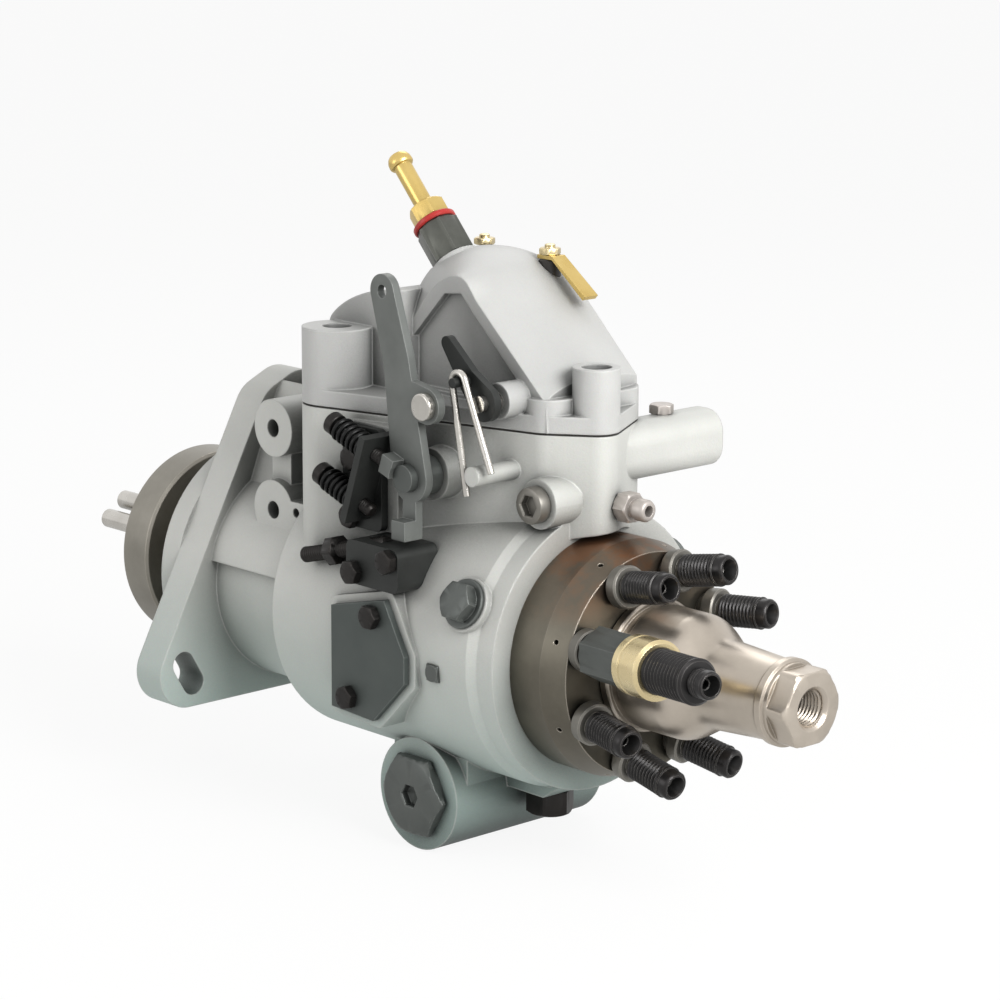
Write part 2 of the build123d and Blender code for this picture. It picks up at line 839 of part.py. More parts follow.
with BuildPart() as governor_cover:
    loft(sections=dome_faces(1, dome_near_y, dome_far_y))
    with BuildSketch(facing_near(dome_near_y + dome_pocket)):
        with BuildLine():
            Polyline(*dome_pocket_corners, close=True)
        make_face()
    extrude(amount=dome_pocket, mode=Mode.SUBTRACT)
    with BuildSketch(level(cover_z0)):
        add(box_outline(0))
    extrude(amount=cover_plate_t)
    with BuildSketch(level(cover_z0)):
        with Locations((box_corner_x, box_near_y), (box_corner_x, box_far_y)):
            Circle(box_corner_r)
        make_hull()
    extrude(amount=front_skirt_top - cover_z0)
    add(cover_shelf.part)
    for boss_x, boss_y, boss_top in screw_places:
        with BuildSketch(level(cover_z0)):
            with Locations((boss_x, boss_y)):
                Circle(front_boss_r if boss_x == front_boss_x else rear_boss_r)
        extrude(amount=boss_top - cover_z0)
    with BuildSketch(facing_near(dome_inner_y)):
        with Locations((shutoff_x, shutoff_z)):
            Circle(shutoff_boss_r)
    extrude(amount=shutoff_boss_length + dome_inner_y - dome_near_y)
    with BuildSketch(return_plane(-adaptor_spigot - cover_wall)):
        Circle(return_boss_r)
    extrude(amount=adaptor_spigot + cover_wall)
    with BuildSketch(return_plane(0)):
        Circle(return_boss_r)
    extrude(amount=adaptor_length, mode=Mode.SUBTRACT)
    # hollow inside
    add(cover_hollow.part, mode=Mode.SUBTRACT)
    with BuildSketch(level(cover_z0)):
        with Locations(((shelf_x0 + shelf_x1) / 2, (shelf_near_y + shelf_far_y) / 2)):
            RectangleRounded(
                shelf_x1 - shelf_x0 - 2 * cover_wall,
                shelf_far_y - shelf_near_y - 2 * cover_wall,
                shelf_round - 1,
            )
    extrude(amount=shelf_hollow_top - cover_z0, mode=Mode.SUBTRACT)
    with BuildSketch(level(cover_z0)):
        with Locations(((shelf_x1 + box_corner_x) / 2 - 8, (dome_near_y + dome_far_y) / 2)):
            Rectangle(box_corner_x - shelf_x1 + 8, dome_far_y - dome_near_y - 2 * cover_wall)
    extrude(amount=cover_wall + 1, mode=Mode.SUBTRACT)
    # holes for the screws, the shut-off shaft, the terminals and the fitting
    for boss_x, boss_y, boss_top in screw_places:
        with BuildSketch(level(cover_z0)):
            with Locations((boss_x, boss_y)):
                Circle(cover_screw_r + free_gap)
        extrude(amount=boss_top - cover_z0, mode=Mode.SUBTRACT)
        with BuildSketch(level(boss_top - cover_screw_recess - cover_screw_head_t)):
            with Locations((boss_x, boss_y)):
                Circle(cover_screw_head_r + free_gap)
        extrude(amount=cover_screw_recess + cover_screw_head_t, mode=Mode.SUBTRACT)
    with BuildSketch(facing_near(shutoff_inner_y)):
        with Locations((shutoff_x, shutoff_z)):
            Circle(shutoff_r + run_clear)
    extrude(amount=shutoff_inner_y - shutoff_outer_y, mode=Mode.SUBTRACT)
    with BuildSketch(level(terminal_foot_z)):
        with Locations(*[(x, terminal_y) for x in terminal_x]):
            Circle(terminal_sleeve_r + seat_clear)
    extrude(amount=terminal_top_z - terminal_foot_z, mode=Mode.SUBTRACT)
    with BuildSketch(return_plane(-adaptor_spigot - 2 * cover_wall)):
        Circle(adaptor_spigot_r + seat_clear)
    extrude(amount=adaptor_spigot + 2 * cover_wall, mode=Mode.SUBTRACT)
finish(governor_cover.part, "governor_cover")

with BuildPart() as cover_gasket:
    with BuildSketch(level(joint_z)):
        add(box_outline(free_gap))
        add(box_cavity(), mode=Mode.SUBTRACT)
        with Locations(*[(x, y) for x, y, _ in screw_places]):
            Circle(cover_screw_r + free_gap, mode=Mode.SUBTRACT)
    extrude(amount=gasket_t)
finish(cover_gasket.part, "cover_gasket")

with BuildPart() as cover_screws:
    for screw_x, screw_y, boss_top in screw_places:
        head_z = boss_top - cover_screw_recess - cover_screw_head_t
        with BuildSketch(level(joint_z - cover_screw_depth + 1)):
            with Locations((screw_x, screw_y)):
                Circle(cover_screw_r)
        extrude(amount=head_z - joint_z + cover_screw_depth - 1)
        with BuildSketch(level(head_z)):
            with Locations((screw_x, screw_y)):
                Circle(cover_screw_head_r)
        extrude(amount=cover_screw_head_t)
        with BuildSketch(level(head_z + cover_screw_head_t / 2)):
            with Locations((screw_x, screw_y)):
                hexagon(cover_screw_head_r)
        extrude(amount=cover_screw_head_t / 2, mode=Mode.SUBTRACT)
finish(cover_screws.part, "cover_screws")

# Shaft bush and lip seals in the pilot
with BuildPart() as shaft_bush:
    with BuildSketch(across(bush_x0)):
        Circle(bush_r)
        Circle(shaft_r + run_clear, mode=Mode.SUBTRACT)
    extrude(amount=bush_x1 - bush_x0)
finish(shaft_bush.part, "shaft_bush")

with BuildPart() as shaft_seals:
    for x in (seal_x0, seal_x0 + seal_pitch):
        with BuildSketch(across(x)):
            Circle(seal_r)
            Circle(shaft_r + run_clear, mode=Mode.SUBTRACT)
        extrude(amount=seal_t)
finish(shaft_seals.part, "shaft_seals")

# Drive hub, shaft and dowels
with BuildPart() as drive_hub:
    with BuildSketch(across(hub_x0)):
        Circle(hub_r)
    extrude(amount=hub_t)
    hub_rims = drive_hub.edges().filter_by(GeomType.CIRCLE)
    chamfer(hub_rims, length=1)
    with BuildSketch(across(hub_x0 + hub_t)):
        Circle(hub_neck_r)
    extrude(amount=-pilot_length - hub_gap - hub_x0 - hub_t)
    with BuildSketch(across(hub_x0)):
        Circle(shaft_r + seat_clear)
    extrude(amount=-pilot_length - hub_gap - hub_x0, mode=Mode.SUBTRACT)
    with BuildSketch(across(hub_x0)):
        with PolarLocations(hub_bolt_circle_r, hub_bolt_count, start_angle=90):
            Circle(hub_bolt_r)
    extrude(amount=hub_t, mode=Mode.SUBTRACT)
    with BuildSketch(across(hub_x0)):
        with Locations(*dowel_places):
            Circle(dowel_seat_r + seat_clear)
    extrude(amount=dowel_seat_depth, mode=Mode.SUBTRACT)
finish(drive_hub.part, "drive_hub")

with BuildPart() as drive_shaft:
    with BuildSketch(across(hub_x0 - 1)):
        Circle(shaft_r)
    extrude(amount=shaft_end_x - hub_x0 + 1)
    chamfer(drive_shaft.edges().filter_by(GeomType.CIRCLE).sort_by(Axis.X)[0], length=1)
    with BuildSketch(across(shaft_end_x)):
        Rectangle(2 * tang_half_t, 2 * tang_half_w)
    extrude(amount=tang_length)
finish(drive_shaft.part, "drive_shaft")

with BuildPart() as drive_dowels:
    with BuildSketch(across(dowel_tip_x)):
        with Locations(*dowel_places):
            Circle(dowel_r)
    extrude(amount=hub_x0 - dowel_tip_x)
    dowel_tips = drive_dowels.edges().filter_by(GeomType.CIRCLE).group_by(Axis.X)[0]
    chamfer(dowel_tips, length=1)
    with BuildSketch(across(hub_x0)):
        with Locations(*dowel_places):
            Circle(dowel_seat_r)
    extrude(amount=dowel_seat_depth)
finish(drive_dowels.part, "drive_dowels")

# Flyweight cage, the flyweights and the thrust sleeve
with BuildPart() as weight_cage:
    with BuildSketch(across(cage_x0)):
        Circle(cage_r)
        Circle(cage_spigot_r + seat_clear, mode=Mode.SUBTRACT)
    extrude(amount=cage_t)
    for step in range(weight_count):
        for side in (-1, 1):
            ear_mid = side * (weight_half_w + free_gap + weight_ear_t / 2)
            with BuildSketch(weight_plane(step, ear_mid - weight_ear_t / 2)):
                with Locations(((cage_x0 + weight_pivot_x - 6) / 2, weight_pivot_r)):
                    Rectangle(cage_x0 - weight_pivot_x + 6, 10)
                with Locations((weight_pivot_x, weight_pivot_r)):
                    Circle(weight_pin_r + run_clear, mode=Mode.SUBTRACT)
            extrude(amount=weight_ear_t)
finish(weight_cage.part, "weight_cage")

for step in range(weight_count):
    with BuildPart() as flyweight:
        with BuildSketch(weight_plane(step, -weight_half_w)):
            with BuildLine():
                Polyline(
                    (weight_pivot_x - weight_length, weight_outer_r),
                    (weight_pivot_x + toe_half_t, weight_outer_r),
                    (weight_pivot_x + toe_half_t, toe_r),
                    (weight_pivot_x - toe_half_t, toe_r),
                    (weight_pivot_x - toe_half_t, weight_pivot_r - 4),
                    (weight_pivot_x - 4 * toe_half_t, weight_inner_r),
                    (weight_pivot_x - weight_length, weight_inner_r),
                    close=True,
                )
            make_face()
        extrude(amount=2 * weight_half_w)
        pin_half = weight_half_w + free_gap + weight_ear_t
        with BuildSketch(weight_plane(step, -pin_half)):
            with Locations((weight_pivot_x, weight_pivot_r)):
                Circle(weight_pin_r)
        extrude(amount=2 * pin_half)
    finish(flyweight.part, f"flyweight_{step + 1}")

with BuildPart() as thrust_sleeve:
    with BuildSketch(across(sleeve_x0)):
        Circle(sleeve_flange_r)
    extrude(amount=sleeve_flange_t)
    with BuildSketch(across(sleeve_x0)):
        Circle(sleeve_r)
    extrude(amount=sleeve_end_x - sleeve_x0)
    with BuildSketch(across(sleeve_x0)):
        Circle(shaft_r + run_clear)
    extrude(amount=sleeve_end_x - sleeve_x0, mode=Mode.SUBTRACT)
finish(thrust_sleeve.part, "thrust_sleeve")

# Governor arm on its pivot pin, and the governor spring
with BuildPart() as governor_arm:
    with BuildSketch(across(arm_pivot_x - arm_t / 2)):
        with Locations((0, (fork_top_z + arm_top_z) / 2)):
            Rectangle(2 * arm_half_w, arm_top_z - fork_top_z)
        with Locations((0, fork_top_z)):
            Rectangle(2 * (fork_half_gap + fork_leg_w), 2 * fork_leg_w)
        for side in (-1, 1):
            with Locations((side * (fork_half_gap + fork_leg_w / 2), (fork_top_z + fork_tip_z) / 2)):
                Rectangle(fork_leg_w, fork_top_z - fork_tip_z)
    extrude(amount=arm_t)
    with BuildSketch(across(arm_pivot_x)):
        for side in (-1, 1):
            with Locations((side * (fork_half_gap + fork_leg_w / 2), 0)):
                Rectangle(fork_leg_w, -2 * fork_tip_z - 2)
    extrude(amount=sleeve_x0 - free_gap - arm_pivot_x)
    with BuildSketch(facing_near(arm_half_w)):
        with Locations((arm_pivot_x, arm_pivot_z)):
            Circle(2 * arm_pin_r)
    extrude(amount=2 * arm_half_w)
    with BuildSketch(facing_near(arm_half_w)):
        with Locations((arm_pivot_x, arm_pivot_z)):
            Circle(arm_pin_r + run_clear)
    extrude(amount=2 * arm_half_w, mode=Mode.SUBTRACT)
finish(governor_arm.part, "governor_arm")

with BuildPart() as arm_pivot_pin:
    with BuildSketch(facing_near(pocket_half_y + 4.5)):
        with Locations((arm_pivot_x, arm_pivot_z)):
            Circle(arm_pin_r)
    extrude(amount=2 * pocket_half_y + 9)
finish(arm_pivot_pin.part, "arm_pivot_pin")


def coil_spring(start, direction, coil_r, wire_r, pitch, length):
    """One round-wire compression or tension coil, written as its own piece."""
    with BuildPart() as spring:
        with BuildLine() as wire:
            Helix(pitch=pitch, height=length, radius=coil_r, center=start, direction=direction)
        with BuildSketch(Plane(origin=wire.line @ 0, z_dir=wire.line % 0)):
            Circle(wire_r)
        sweep(is_frenet=True)
    return spring.part


governor_spring_x0 = arm_pivot_x + arm_t / 2 + governor_wire + free_gap
governor_spring_x1 = throttle_x - throttle_r - 1 - governor_wire - free_gap
governor_spring = coil_spring(
    (governor_spring_x0, 0, governor_spring_z),
    (1, 0, 0),
    governor_coil_r,
    governor_wire,
    governor_pitch,
    governor_spring_x1 - governor_spring_x0,
)
finish(governor_spring, "governor_spring")

# Distributor rotor with its plungers, shoes and rollers
shoe_inner_y = plunger_outer_y + free_gap / 2
shoe_outer_y = shoe_inner_y + shoe_t
with BuildPart() as distributor_rotor:
    with BuildSketch(across(cage_x0)):
        Circle(cage_spigot_r)
    extrude(amount=rotor_head_x0 - cage_x0)
    with BuildSketch(across(rotor_head_x0)):
        Circle(rotor_head_r)
    extrude(amount=rotor_head_x1 - rotor_head_x0)
    with BuildSketch(across(rotor_head_x1)):
        Circle(rotor_r)
    extrude(amount=rotor_end_x - rotor_head_x1)
    with BuildSketch(across(cage_x0)):
        Rectangle(2 * tang_half_t + 2 * seat_clear, 2 * tang_half_w + 2 * seat_clear)
    extrude(amount=shaft_end_x + tang_length + free_gap - cage_x0, mode=Mode.SUBTRACT)
    with BuildSketch(facing_near(rotor_head_r)):
        with Locations((plunger_x, 0)):
            Circle(plunger_r + run_clear)
    extrude(amount=2 * rotor_head_r, mode=Mode.SUBTRACT)
    for side in (-1, 1):
        with BuildSketch(facing_near(side * shoe_inner_y)):
            with Locations((plunger_x, 0)):
                Rectangle(roller_length + 2 * free_gap, 2 * shoe_half_w + 2 * run_clear)
        extrude(amount=-side * rotor_head_r, mode=Mode.SUBTRACT)
    with BuildSketch(across(plunger_x)):
        Circle(outlet_bore_r)
    extrude(amount=rotor_end_x - plunger_x, mode=Mode.SUBTRACT)
    with BuildSketch(across(blade_x0)):
        Rectangle(2 * rotor_r, blade_t + 2 * run_clear)
        Rectangle(blade_t + 2 * run_clear, 2 * rotor_r)
        Rectangle(2 * blade_root_r, 2 * blade_root_r, mode=Mode.SUBTRACT)
    extrude(amount=rotor_end_x - blade_x0, mode=Mode.SUBTRACT)
finish(distributor_rotor.part, "distributor_rotor")

with BuildPart() as transfer_blades:
    with BuildSketch(across(blade_x0 + free_gap)):
        with PolarLocations(blade_root_r + run_clear + blade_depth / 2, 4):
            Rectangle(blade_depth, blade_t)
    extrude(amount=rotor_end_x - blade_x0 - 2 * free_gap)
finish(transfer_blades.part, "transfer_blades")

with BuildPart() as pumping_plungers:
    for side in (-1, 1):
        with BuildSketch(facing_near(side * plunger_inner_y)):
            with Locations((plunger_x, 0)):
                Circle(plunger_r)
        extrude(amount=-side * (plunger_outer_y - plunger_inner_y))
finish(pumping_plungers.part, "pumping_plungers")

with BuildPart() as roller_shoes:
    for side in (-1, 1):
        with BuildSketch(across(plunger_x - roller_length / 2)):
            with Locations((side * (shoe_inner_y + shoe_outer_y) / 2, 0)):
                Rectangle(shoe_t, 2 * shoe_half_w)
            with Locations((side * roller_y, 0)):
                Circle(roller_r + run_clear, mode=Mode.SUBTRACT)
        extrude(amount=roller_length)
finish(roller_shoes.part, "roller_shoes")

with BuildPart() as cam_rollers:
    with BuildSketch(across(plunger_x - roller_length / 2)):
        with Locations((-roller_y, 0), (roller_y, 0)):
            Circle(roller_r)
    extrude(amount=roller_length)
finish(cam_rollers.part, "cam_rollers")

# Cam ring, turned a little by the advance piston through a ball-ended pin
with BuildPart() as cam_ring:
    with BuildSketch(across(plunger_x - cam_half_t)):
        Circle(chamber_r - run_clear)
        Circle(cam_base_r, mode=Mode.SUBTRACT)
        with PolarLocations(cam_crest_r + cam_lobe_r, cam_lobes, start_angle=360 / cam_lobes / 2):
            Circle(cam_lobe_r)
        Circle(chamber_r - run_clear, mode=Mode.INTERSECT)
    extrude(amount=2 * cam_half_t)
    with BuildSketch(level(-chamber_r)):
        with Locations((advance_x, 0)):
            Circle(pin_neck_r + seat_clear)
    extrude(amount=chamber_r - cam_crest_r, mode=Mode.SUBTRACT)
finish(cam_ring.part, "cam_ring")

with BuildPart() as advance_pin:
    with BuildSketch(level(advance_z)):
        with Locations((advance_x, 0)):
            Circle(pin_neck_r)
    extrude(amount=-advance_z - cam_base_r - 1)
    with Locations((advance_x, 0, advance_z)):
        Sphere(pin_ball_r)
finish(advance_pin.part, "advance_pin")

with BuildPart() as advance_piston:
    with BuildSketch(facing_near(piston_half_length)):
        with Locations((advance_x, advance_z)):
            Circle(advance_bore_r - run_clear)
    extrude(amount=2 * piston_half_length)
    with BuildSketch(level(advance_z - pin_ball_r - free_gap)):
        with Locations((advance_x, 0)):
            Rectangle(2 * pin_ball_r + 2 * free_gap, 2 * pin_ball_r + 2 * free_gap)
    extrude(amount=advance_bore_r + pin_ball_r + free_gap, mode=Mode.SUBTRACT)
finish(advance_piston.part, "advance_piston")

advance_spring_y0 = -advance_half_length + plug_thread_length + advance_wire + free_gap
advance_spring_y1 = -piston_half_length - advance_wire - free_gap
advance_spring = coil_spring(
    (advance_x, advance_spring_y0, advance_z),
    (0, 1, 0),
    advance_coil_r,
    advance_wire,
    advance_pitch,
    advance_spring_y1 - advance_spring_y0,
)
finish(advance_spring, "advance_spring")

with BuildPart() as advance_plugs:
    for side in (-1, 1):
        with BuildSketch(facing_near(side * advance_half_length)):
            with Locations((advance_x, advance_z)):
                hexagon(plug_across_flats)
        extrude(amount=-side * plug_head_t)
        with BuildSketch(facing_near(side * (advance_half_length - plug_thread_length))):
            with Locations((advance_x, advance_z)):
                Circle(advance_bore_r - thread_clear)
        extrude(amount=-side * plug_thread_length)
        with BuildSketch(facing_near(side * (advance_half_length + plug_head_t))):
            with Locations((advance_x, advance_z)):
                hexagon(2 * plug_socket_r)
        extrude(amount=side * plug_head_t * 0.7, mode=Mode.SUBTRACT)
finish(advance_plugs.part, "advance_plugs")

# Hydraulic head with its rotor bore, liner recess, outlet and valve holes
with BuildPart() as hydraulic_head:
    with BuildSketch(Plane.XZ):
        with BuildLine():
            Polyline(
                (head_seat_x0, rotor_r + run_clear),
                (head_seat_x0, head_seat_r - seat_clear),
                (housing_end, head_seat_r - seat_clear),
                (housing_end, head_ring_r),
                (head_chamfer_x, head_ring_r),
                (head_face_x, head_face_r),
                (head_face_x, liner_r + seat_clear),
                (liner_x0, liner_r + seat_clear),
                (liner_x0, rotor_r + run_clear),
                close=True,
            )
        make_face()
    revolve(axis=Axis.X)
    for step in range(outlet_count):
        with BuildSketch(outlet_plane(step, -outlet_root - 1)):
            Circle(outlet_r + thread_clear)
        extrude(amount=outlet_root + 3, mode=Mode.SUBTRACT)
    for angle in lock_angles:
        with BuildSketch(radial_plane(lock_x, angle, head_seat_r - lock_depth)):
            Circle(lock_screw_r + thread_clear)
        extrude(amount=lock_depth + 1, mode=Mode.SUBTRACT)
    with BuildSketch(level(-head_seat_r - 1)):
        with Locations((locating_x, 0)):
            Circle(locating_screw_r + thread_clear)
    extrude(amount=lock_depth + 1, mode=Mode.SUBTRACT)
    with BuildSketch(level(valve_foot_z - free_gap)):
        with Locations((valve_x, valve_y)):
            Circle(valve_r + run_clear)
    extrude(amount=head_seat_r, mode=Mode.SUBTRACT)
    # small blind holes in the slope of the ring, one by each outlet
    for step in range(outlet_count):
        angle = 360 / outlet_count * step + outlet_phase
        with BuildSketch(radial_plane(head_dimple_x, angle, head_face_r - head_dimple_depth)):
            Circle(head_dimple_r)
        extrude(amount=head_ring_r, mode=Mode.SUBTRACT)
finish(hydraulic_head.part, "hydraulic_head")

with BuildPart() as metering_valve:
    with BuildSketch(level(valve_foot_z)):
        with Locations((valve_x, valve_y)):
            Circle(valve_r)
    extrude(amount=valve_top_z - valve_foot_z)
    with BuildSketch(level(valve_top_z - valve_arm_t)):
        with Locations((valve_x, valve_y), (valve_x - valve_arm_length, valve_y)):
            Circle(valve_r - 1)
        make_hull()
    extrude(amount=valve_arm_t)
finish(metering_valve.part, "metering_valve")

with BuildPart() as head_locating_screw:
    with BuildSketch(level(ledge_bottom_z - locating_hex_t)):
        with Locations((locating_x, 0)):
            hexagon(locating_hex)
    extrude(amount=locating_hex_t)
    with BuildSketch(level(ledge_bottom_z)):
        with Locations((locating_x, 0)):
            Circle(locating_screw_r)
    extrude(amount=-ledge_bottom_z - head_seat_r + lock_depth - 1)
finish(head_locating_screw.part, "head_locating_screw")

with BuildPart() as head_locking_screws:
    pad_r = barrel_r + 1
    for angle in lock_angles:
        with BuildSketch(radial_plane(lock_x, angle, head_seat_r - lock_depth + 1)):
            Circle(lock_screw_r)
        extrude(amount=pad_r - head_seat_r + lock_depth - 1)
        with BuildSketch(radial_plane(lock_x, angle, pad_r)):
            Circle(lock_washer_r)
        extrude(amount=lock_washer_t)
        with BuildSketch(radial_plane(lock_x, angle, pad_r + lock_washer_t)):
            hexagon(lock_hex)
        extrude(amount=lock_hex_t)
finish(head_locking_screws.part, "head_locking_screws")

# Outlets: seven alike, and one long one with a brass-coloured ring
with BuildPart() as outlet_connectors:
    for step in short_outlets:
        with BuildSketch(outlet_plane(step, -outlet_root)):
            Circle(outlet_r)
        extrude(amount=outlet_root + outlet_length)
        with BuildSketch(outlet_plane(step, outlet_seat)):
            Circle(outlet_collar_r)
        extrude(amount=outlet_collar_t)
        with BuildSketch(outlet_plane(step, -outlet_root)):
            Circle(outlet_bore_r)
        extrude(amount=outlet_root + outlet_length, mode=Mode.SUBTRACT)
        with BuildSketch(outlet_plane(step, outlet_length - outlet_cone_r)):
            Circle(outlet_bore_r)
        with BuildSketch(outlet_plane(step, outlet_length)):
            Circle(outlet_cone_r)
        loft(mode=Mode.SUBTRACT)
finish(outlet_connectors.part, "outlet_connectors")

with BuildPart() as long_outlet:
    with BuildSketch(outlet_plane(long_outlet_step, -outlet_root)):
        Circle(outlet_r)
    extrude(amount=outlet_root + long_hex_start)
    with BuildSketch(outlet_plane(long_outlet_step, outlet_seat)):
        Circle(outlet_collar_r)
    extrude(amount=outlet_collar_t)
    with BuildSketch(outlet_plane(long_outlet_step, long_hex_start)):
        hexagon(long_hex)
    extrude(amount=long_hex_end - long_hex_start)
    with BuildSketch(outlet_plane(long_outlet_step, long_hex_end)):
        Circle(long_thread_r)
    extrude(amount=long_thread_end - long_hex_end)
    with BuildSketch(outlet_plane(long_outlet_step, long_thread_end)):
        Circle(long_tip_r)
    extrude(amount=long_tip_end - long_thread_end)
    with BuildSketch(outlet_plane(long_outlet_step, -outlet_root)):
        Circle(outlet_bore_r)
    extrude(amount=outlet_root + long_tip_end, mode=Mode.SUBTRACT)
    with BuildSketch(outlet_plane(long_outlet_step, long_tip_end - outlet_cone_r)):
        Circle(outlet_bore_r)
    with BuildSketch(outlet_plane(long_outlet_step, long_tip_end)):
        Circle(outlet_cone_r)
    loft(mode=Mode.SUBTRACT)
finish(long_outlet.part, "long_outlet")

with BuildPart() as long_outlet_ring:
    with BuildSketch(outlet_plane(long_outlet_step, long_hex_end)):
        Circle(long_ring_r)
        Circle(long_thread_r + thread_clear, mode=Mode.SUBTRACT)
    extrude(amount=long_ring_end - long_hex_end)
finish(long_outlet_ring.part, "long_outlet_ring")

# Transfer pump liner, inlet cap and the regulator piston inside it
with BuildPart() as transfer_liner:
    with BuildSketch(across(liner_x0)):
        Circle(liner_r)
        with Locations((0, liner_eccentric)):
            Circle(liner_bore_r, mode=Mode.SUBTRACT)
    extrude(amount=head_face_x - liner_x0)
finish(transfer_liner.part, "transfer_liner")

cap_x1 = head_face_x + cap_base_t
cap_x2 = cap_x1 + cap_groove_t
with BuildPart() as inlet_cap:
    with BuildSketch(Plane.XZ):
        with BuildLine():
            outside = Polyline(
                (head_face_x, 0),
                (head_face_x, cap_base_r),
                (cap_x1, cap_base_r),
                (cap_x1, cap_groove_r),
                (cap_x2, cap_groove_r),
                (cap_x2, cap_bell_r),
                (cap_bell_x1, cap_bell_r),
            )
            shoulder = Spline(
                outside @ 1,
                (cap_neck_x, cap_neck_r),
                tangents=((1, 0), (1, -0.45)),
            )
            Polyline(
                shoulder @ 1,
                (cap_ring_x, cap_tip_r),
                (cap_ring_x, cap_ring_r),
                (cap_ring_x + cap_ring_t, cap_ring_r),
                (cap_ring_x + cap_ring_t, cap_tip_r),
                (cap_end_x - 1, cap_tip_r),
                (cap_end_x, cap_tip_r - 1.5),
                (cap_end_x, 0),
                (head_face_x, 0),
            )
        make_face()
    revolve(axis=Axis.X)
    with BuildSketch(across(cap_end_x - cap_hex_length)):
        Circle(cap_bell_r)
        hexagon(cap_hex, Mode.SUBTRACT)
    extrude(amount=cap_hex_length, mode=Mode.SUBTRACT)
    with BuildSketch(across(head_face_x)):
        Circle(regulator_bore_r + run_clear)
    extrude(amount=regulator_well + regulator_x0 - head_face_x, mode=Mode.SUBTRACT)
    with BuildSketch(across(regulator_x0)):
        Circle(inlet_bore_r)
    extrude(amount=cap_end_x - regulator_x0, mode=Mode.SUBTRACT)
    with BuildSketch(across(cap_end_x - inlet_depth)):
        Circle(inlet_thread_r)
    extrude(amount=inlet_depth, mode=Mode.SUBTRACT)
finish(inlet_cap.part, "inlet_cap")

with BuildPart() as regulator_piston:
    with BuildSketch(across(regulator_x0)):
        Circle(regulator_bore_r)
    extrude(amount=regulator_length)
    with BuildSketch(across(regulator_x0 + regulator_length / 2)):
        Circle(inlet_bore_r - 1)
    extrude(amount=regulator_length / 2, mode=Mode.SUBTRACT)
finish(regulator_piston.part, "regulator_piston")

# Plugs and nipple on the housing
with BuildPart() as side_plugs:
    with BuildSketch(facing_near(round_plug_face_y + round_plug_t)):
        with Locations((round_plug_x, round_plug_z)):
            Circle(round_plug_r)
    extrude(amount=round_plug_t)
    with BuildSketch(facing_near(round_plug_face_y)):
        with Locations((round_plug_x, round_plug_z)):
            Circle(round_plug_head_r)
    extrude(amount=round_plug_head_t)
    with BuildSketch(facing_near(round_plug_face_y - round_plug_head_t + round_plug_socket_depth)):
        with Locations((round_plug_x, round_plug_z)):
            hexagon(round_plug_socket)
    extrude(amount=round_plug_socket_depth, mode=Mode.SUBTRACT)
    with BuildSketch(facing_near(-barrel_r + round_plug_t)):
        with Locations((square_plug_x, square_plug_z)):
            Rectangle(2 * square_plug_half, 2 * square_plug_half)
    extrude(amount=round_plug_t + 1)
    with BuildSketch(level(joint_z)):
        with Locations(cap_plug_place):
            hexagon(small_screw_hex)
    extrude(amount=small_screw_hex_t)
finish(side_plugs.part, "side_plugs")

nipple_x0 = front_boss_x + front_boss_r + free_gap
with BuildPart() as vent_nipple:
    with BuildSketch(across(housing_end + 2)):
        with Locations((nipple_y, nipple_z)):
            Circle(nipple_r - 0.5)
    extrude(amount=nipple_x0 - housing_end - 2)
    with BuildSketch(across(nipple_x0)):
        with Locations((nipple_y, nipple_z)):
            hexagon(nipple_hex)
    extrude(amount=nipple_hex_t)
    with BuildSketch(across(nipple_x0 + nipple_hex_t)):
        with Locations((nipple_y, nipple_z)):
            Circle(nipple_r)
    extrude(amount=nipple_length - nipple_hex_t)
    with BuildSketch(across(housing_end + 2)):
        with Locations((nipple_y, nipple_z)):
            Circle(nipple_bore_r)
    extrude(amount=nipple_x0 + nipple_length - housing_end - 2, mode=Mode.SUBTRACT)
finish(vent_nipple.part, "vent_nipple")

# Timing cover and the small screws that hold it, the bracket and the block
with BuildPart() as timing_cover:
    with BuildSketch(facing_near(timing_pad_y)):
        with BuildLine():
            Polyline(*timing_corners, close=True)
        make_face()
        with Locations(*timing_screws):
            Circle(small_screw_r + free_gap, mode=Mode.SUBTRACT)
    extrude(amount=timing_cover_t)
finish(timing_cover.part, "timing_cover")

screw_seats = (
    (timing_screws, timing_pad_y - timing_cover_t, small_screw_reach),
    (bracket_screws, bracket_pad_y - bracket_t, small_screw_reach),
    (block_screws, trim_block_y[0], block_screw_reach),
)
with BuildPart() as small_screws:
    for places, seat_y, reach in screw_seats:
        with BuildSketch(facing_near(seat_y + reach)):
            with Locations(*places):
                Circle(small_screw_r)
        extrude(amount=reach)
        with BuildSketch(facing_near(seat_y)):
            with Locations(*places):
                hexagon(small_screw_hex)
        extrude(amount=small_screw_hex_t)
finish(small_screws.part, "small_screws")

# Bracket with two stop screws, their springs, and the trim block with its screw
stop_turn = radians(stop_slope)
stop_axis = (cos(stop_turn), 0, sin(stop_turn))
trim_turn = radians(trim_slope)
trim_axis = (cos(trim_turn), 0, sin(trim_turn))


def stop_plane(tip, distance):
    """A plane square to a stop screw, at a distance back from its tip."""
    origin = (tip[0] - distance * stop_axis[0], stop_screw_y, tip[1] - distance * stop_axis[2])
    return along(origin, stop_axis)


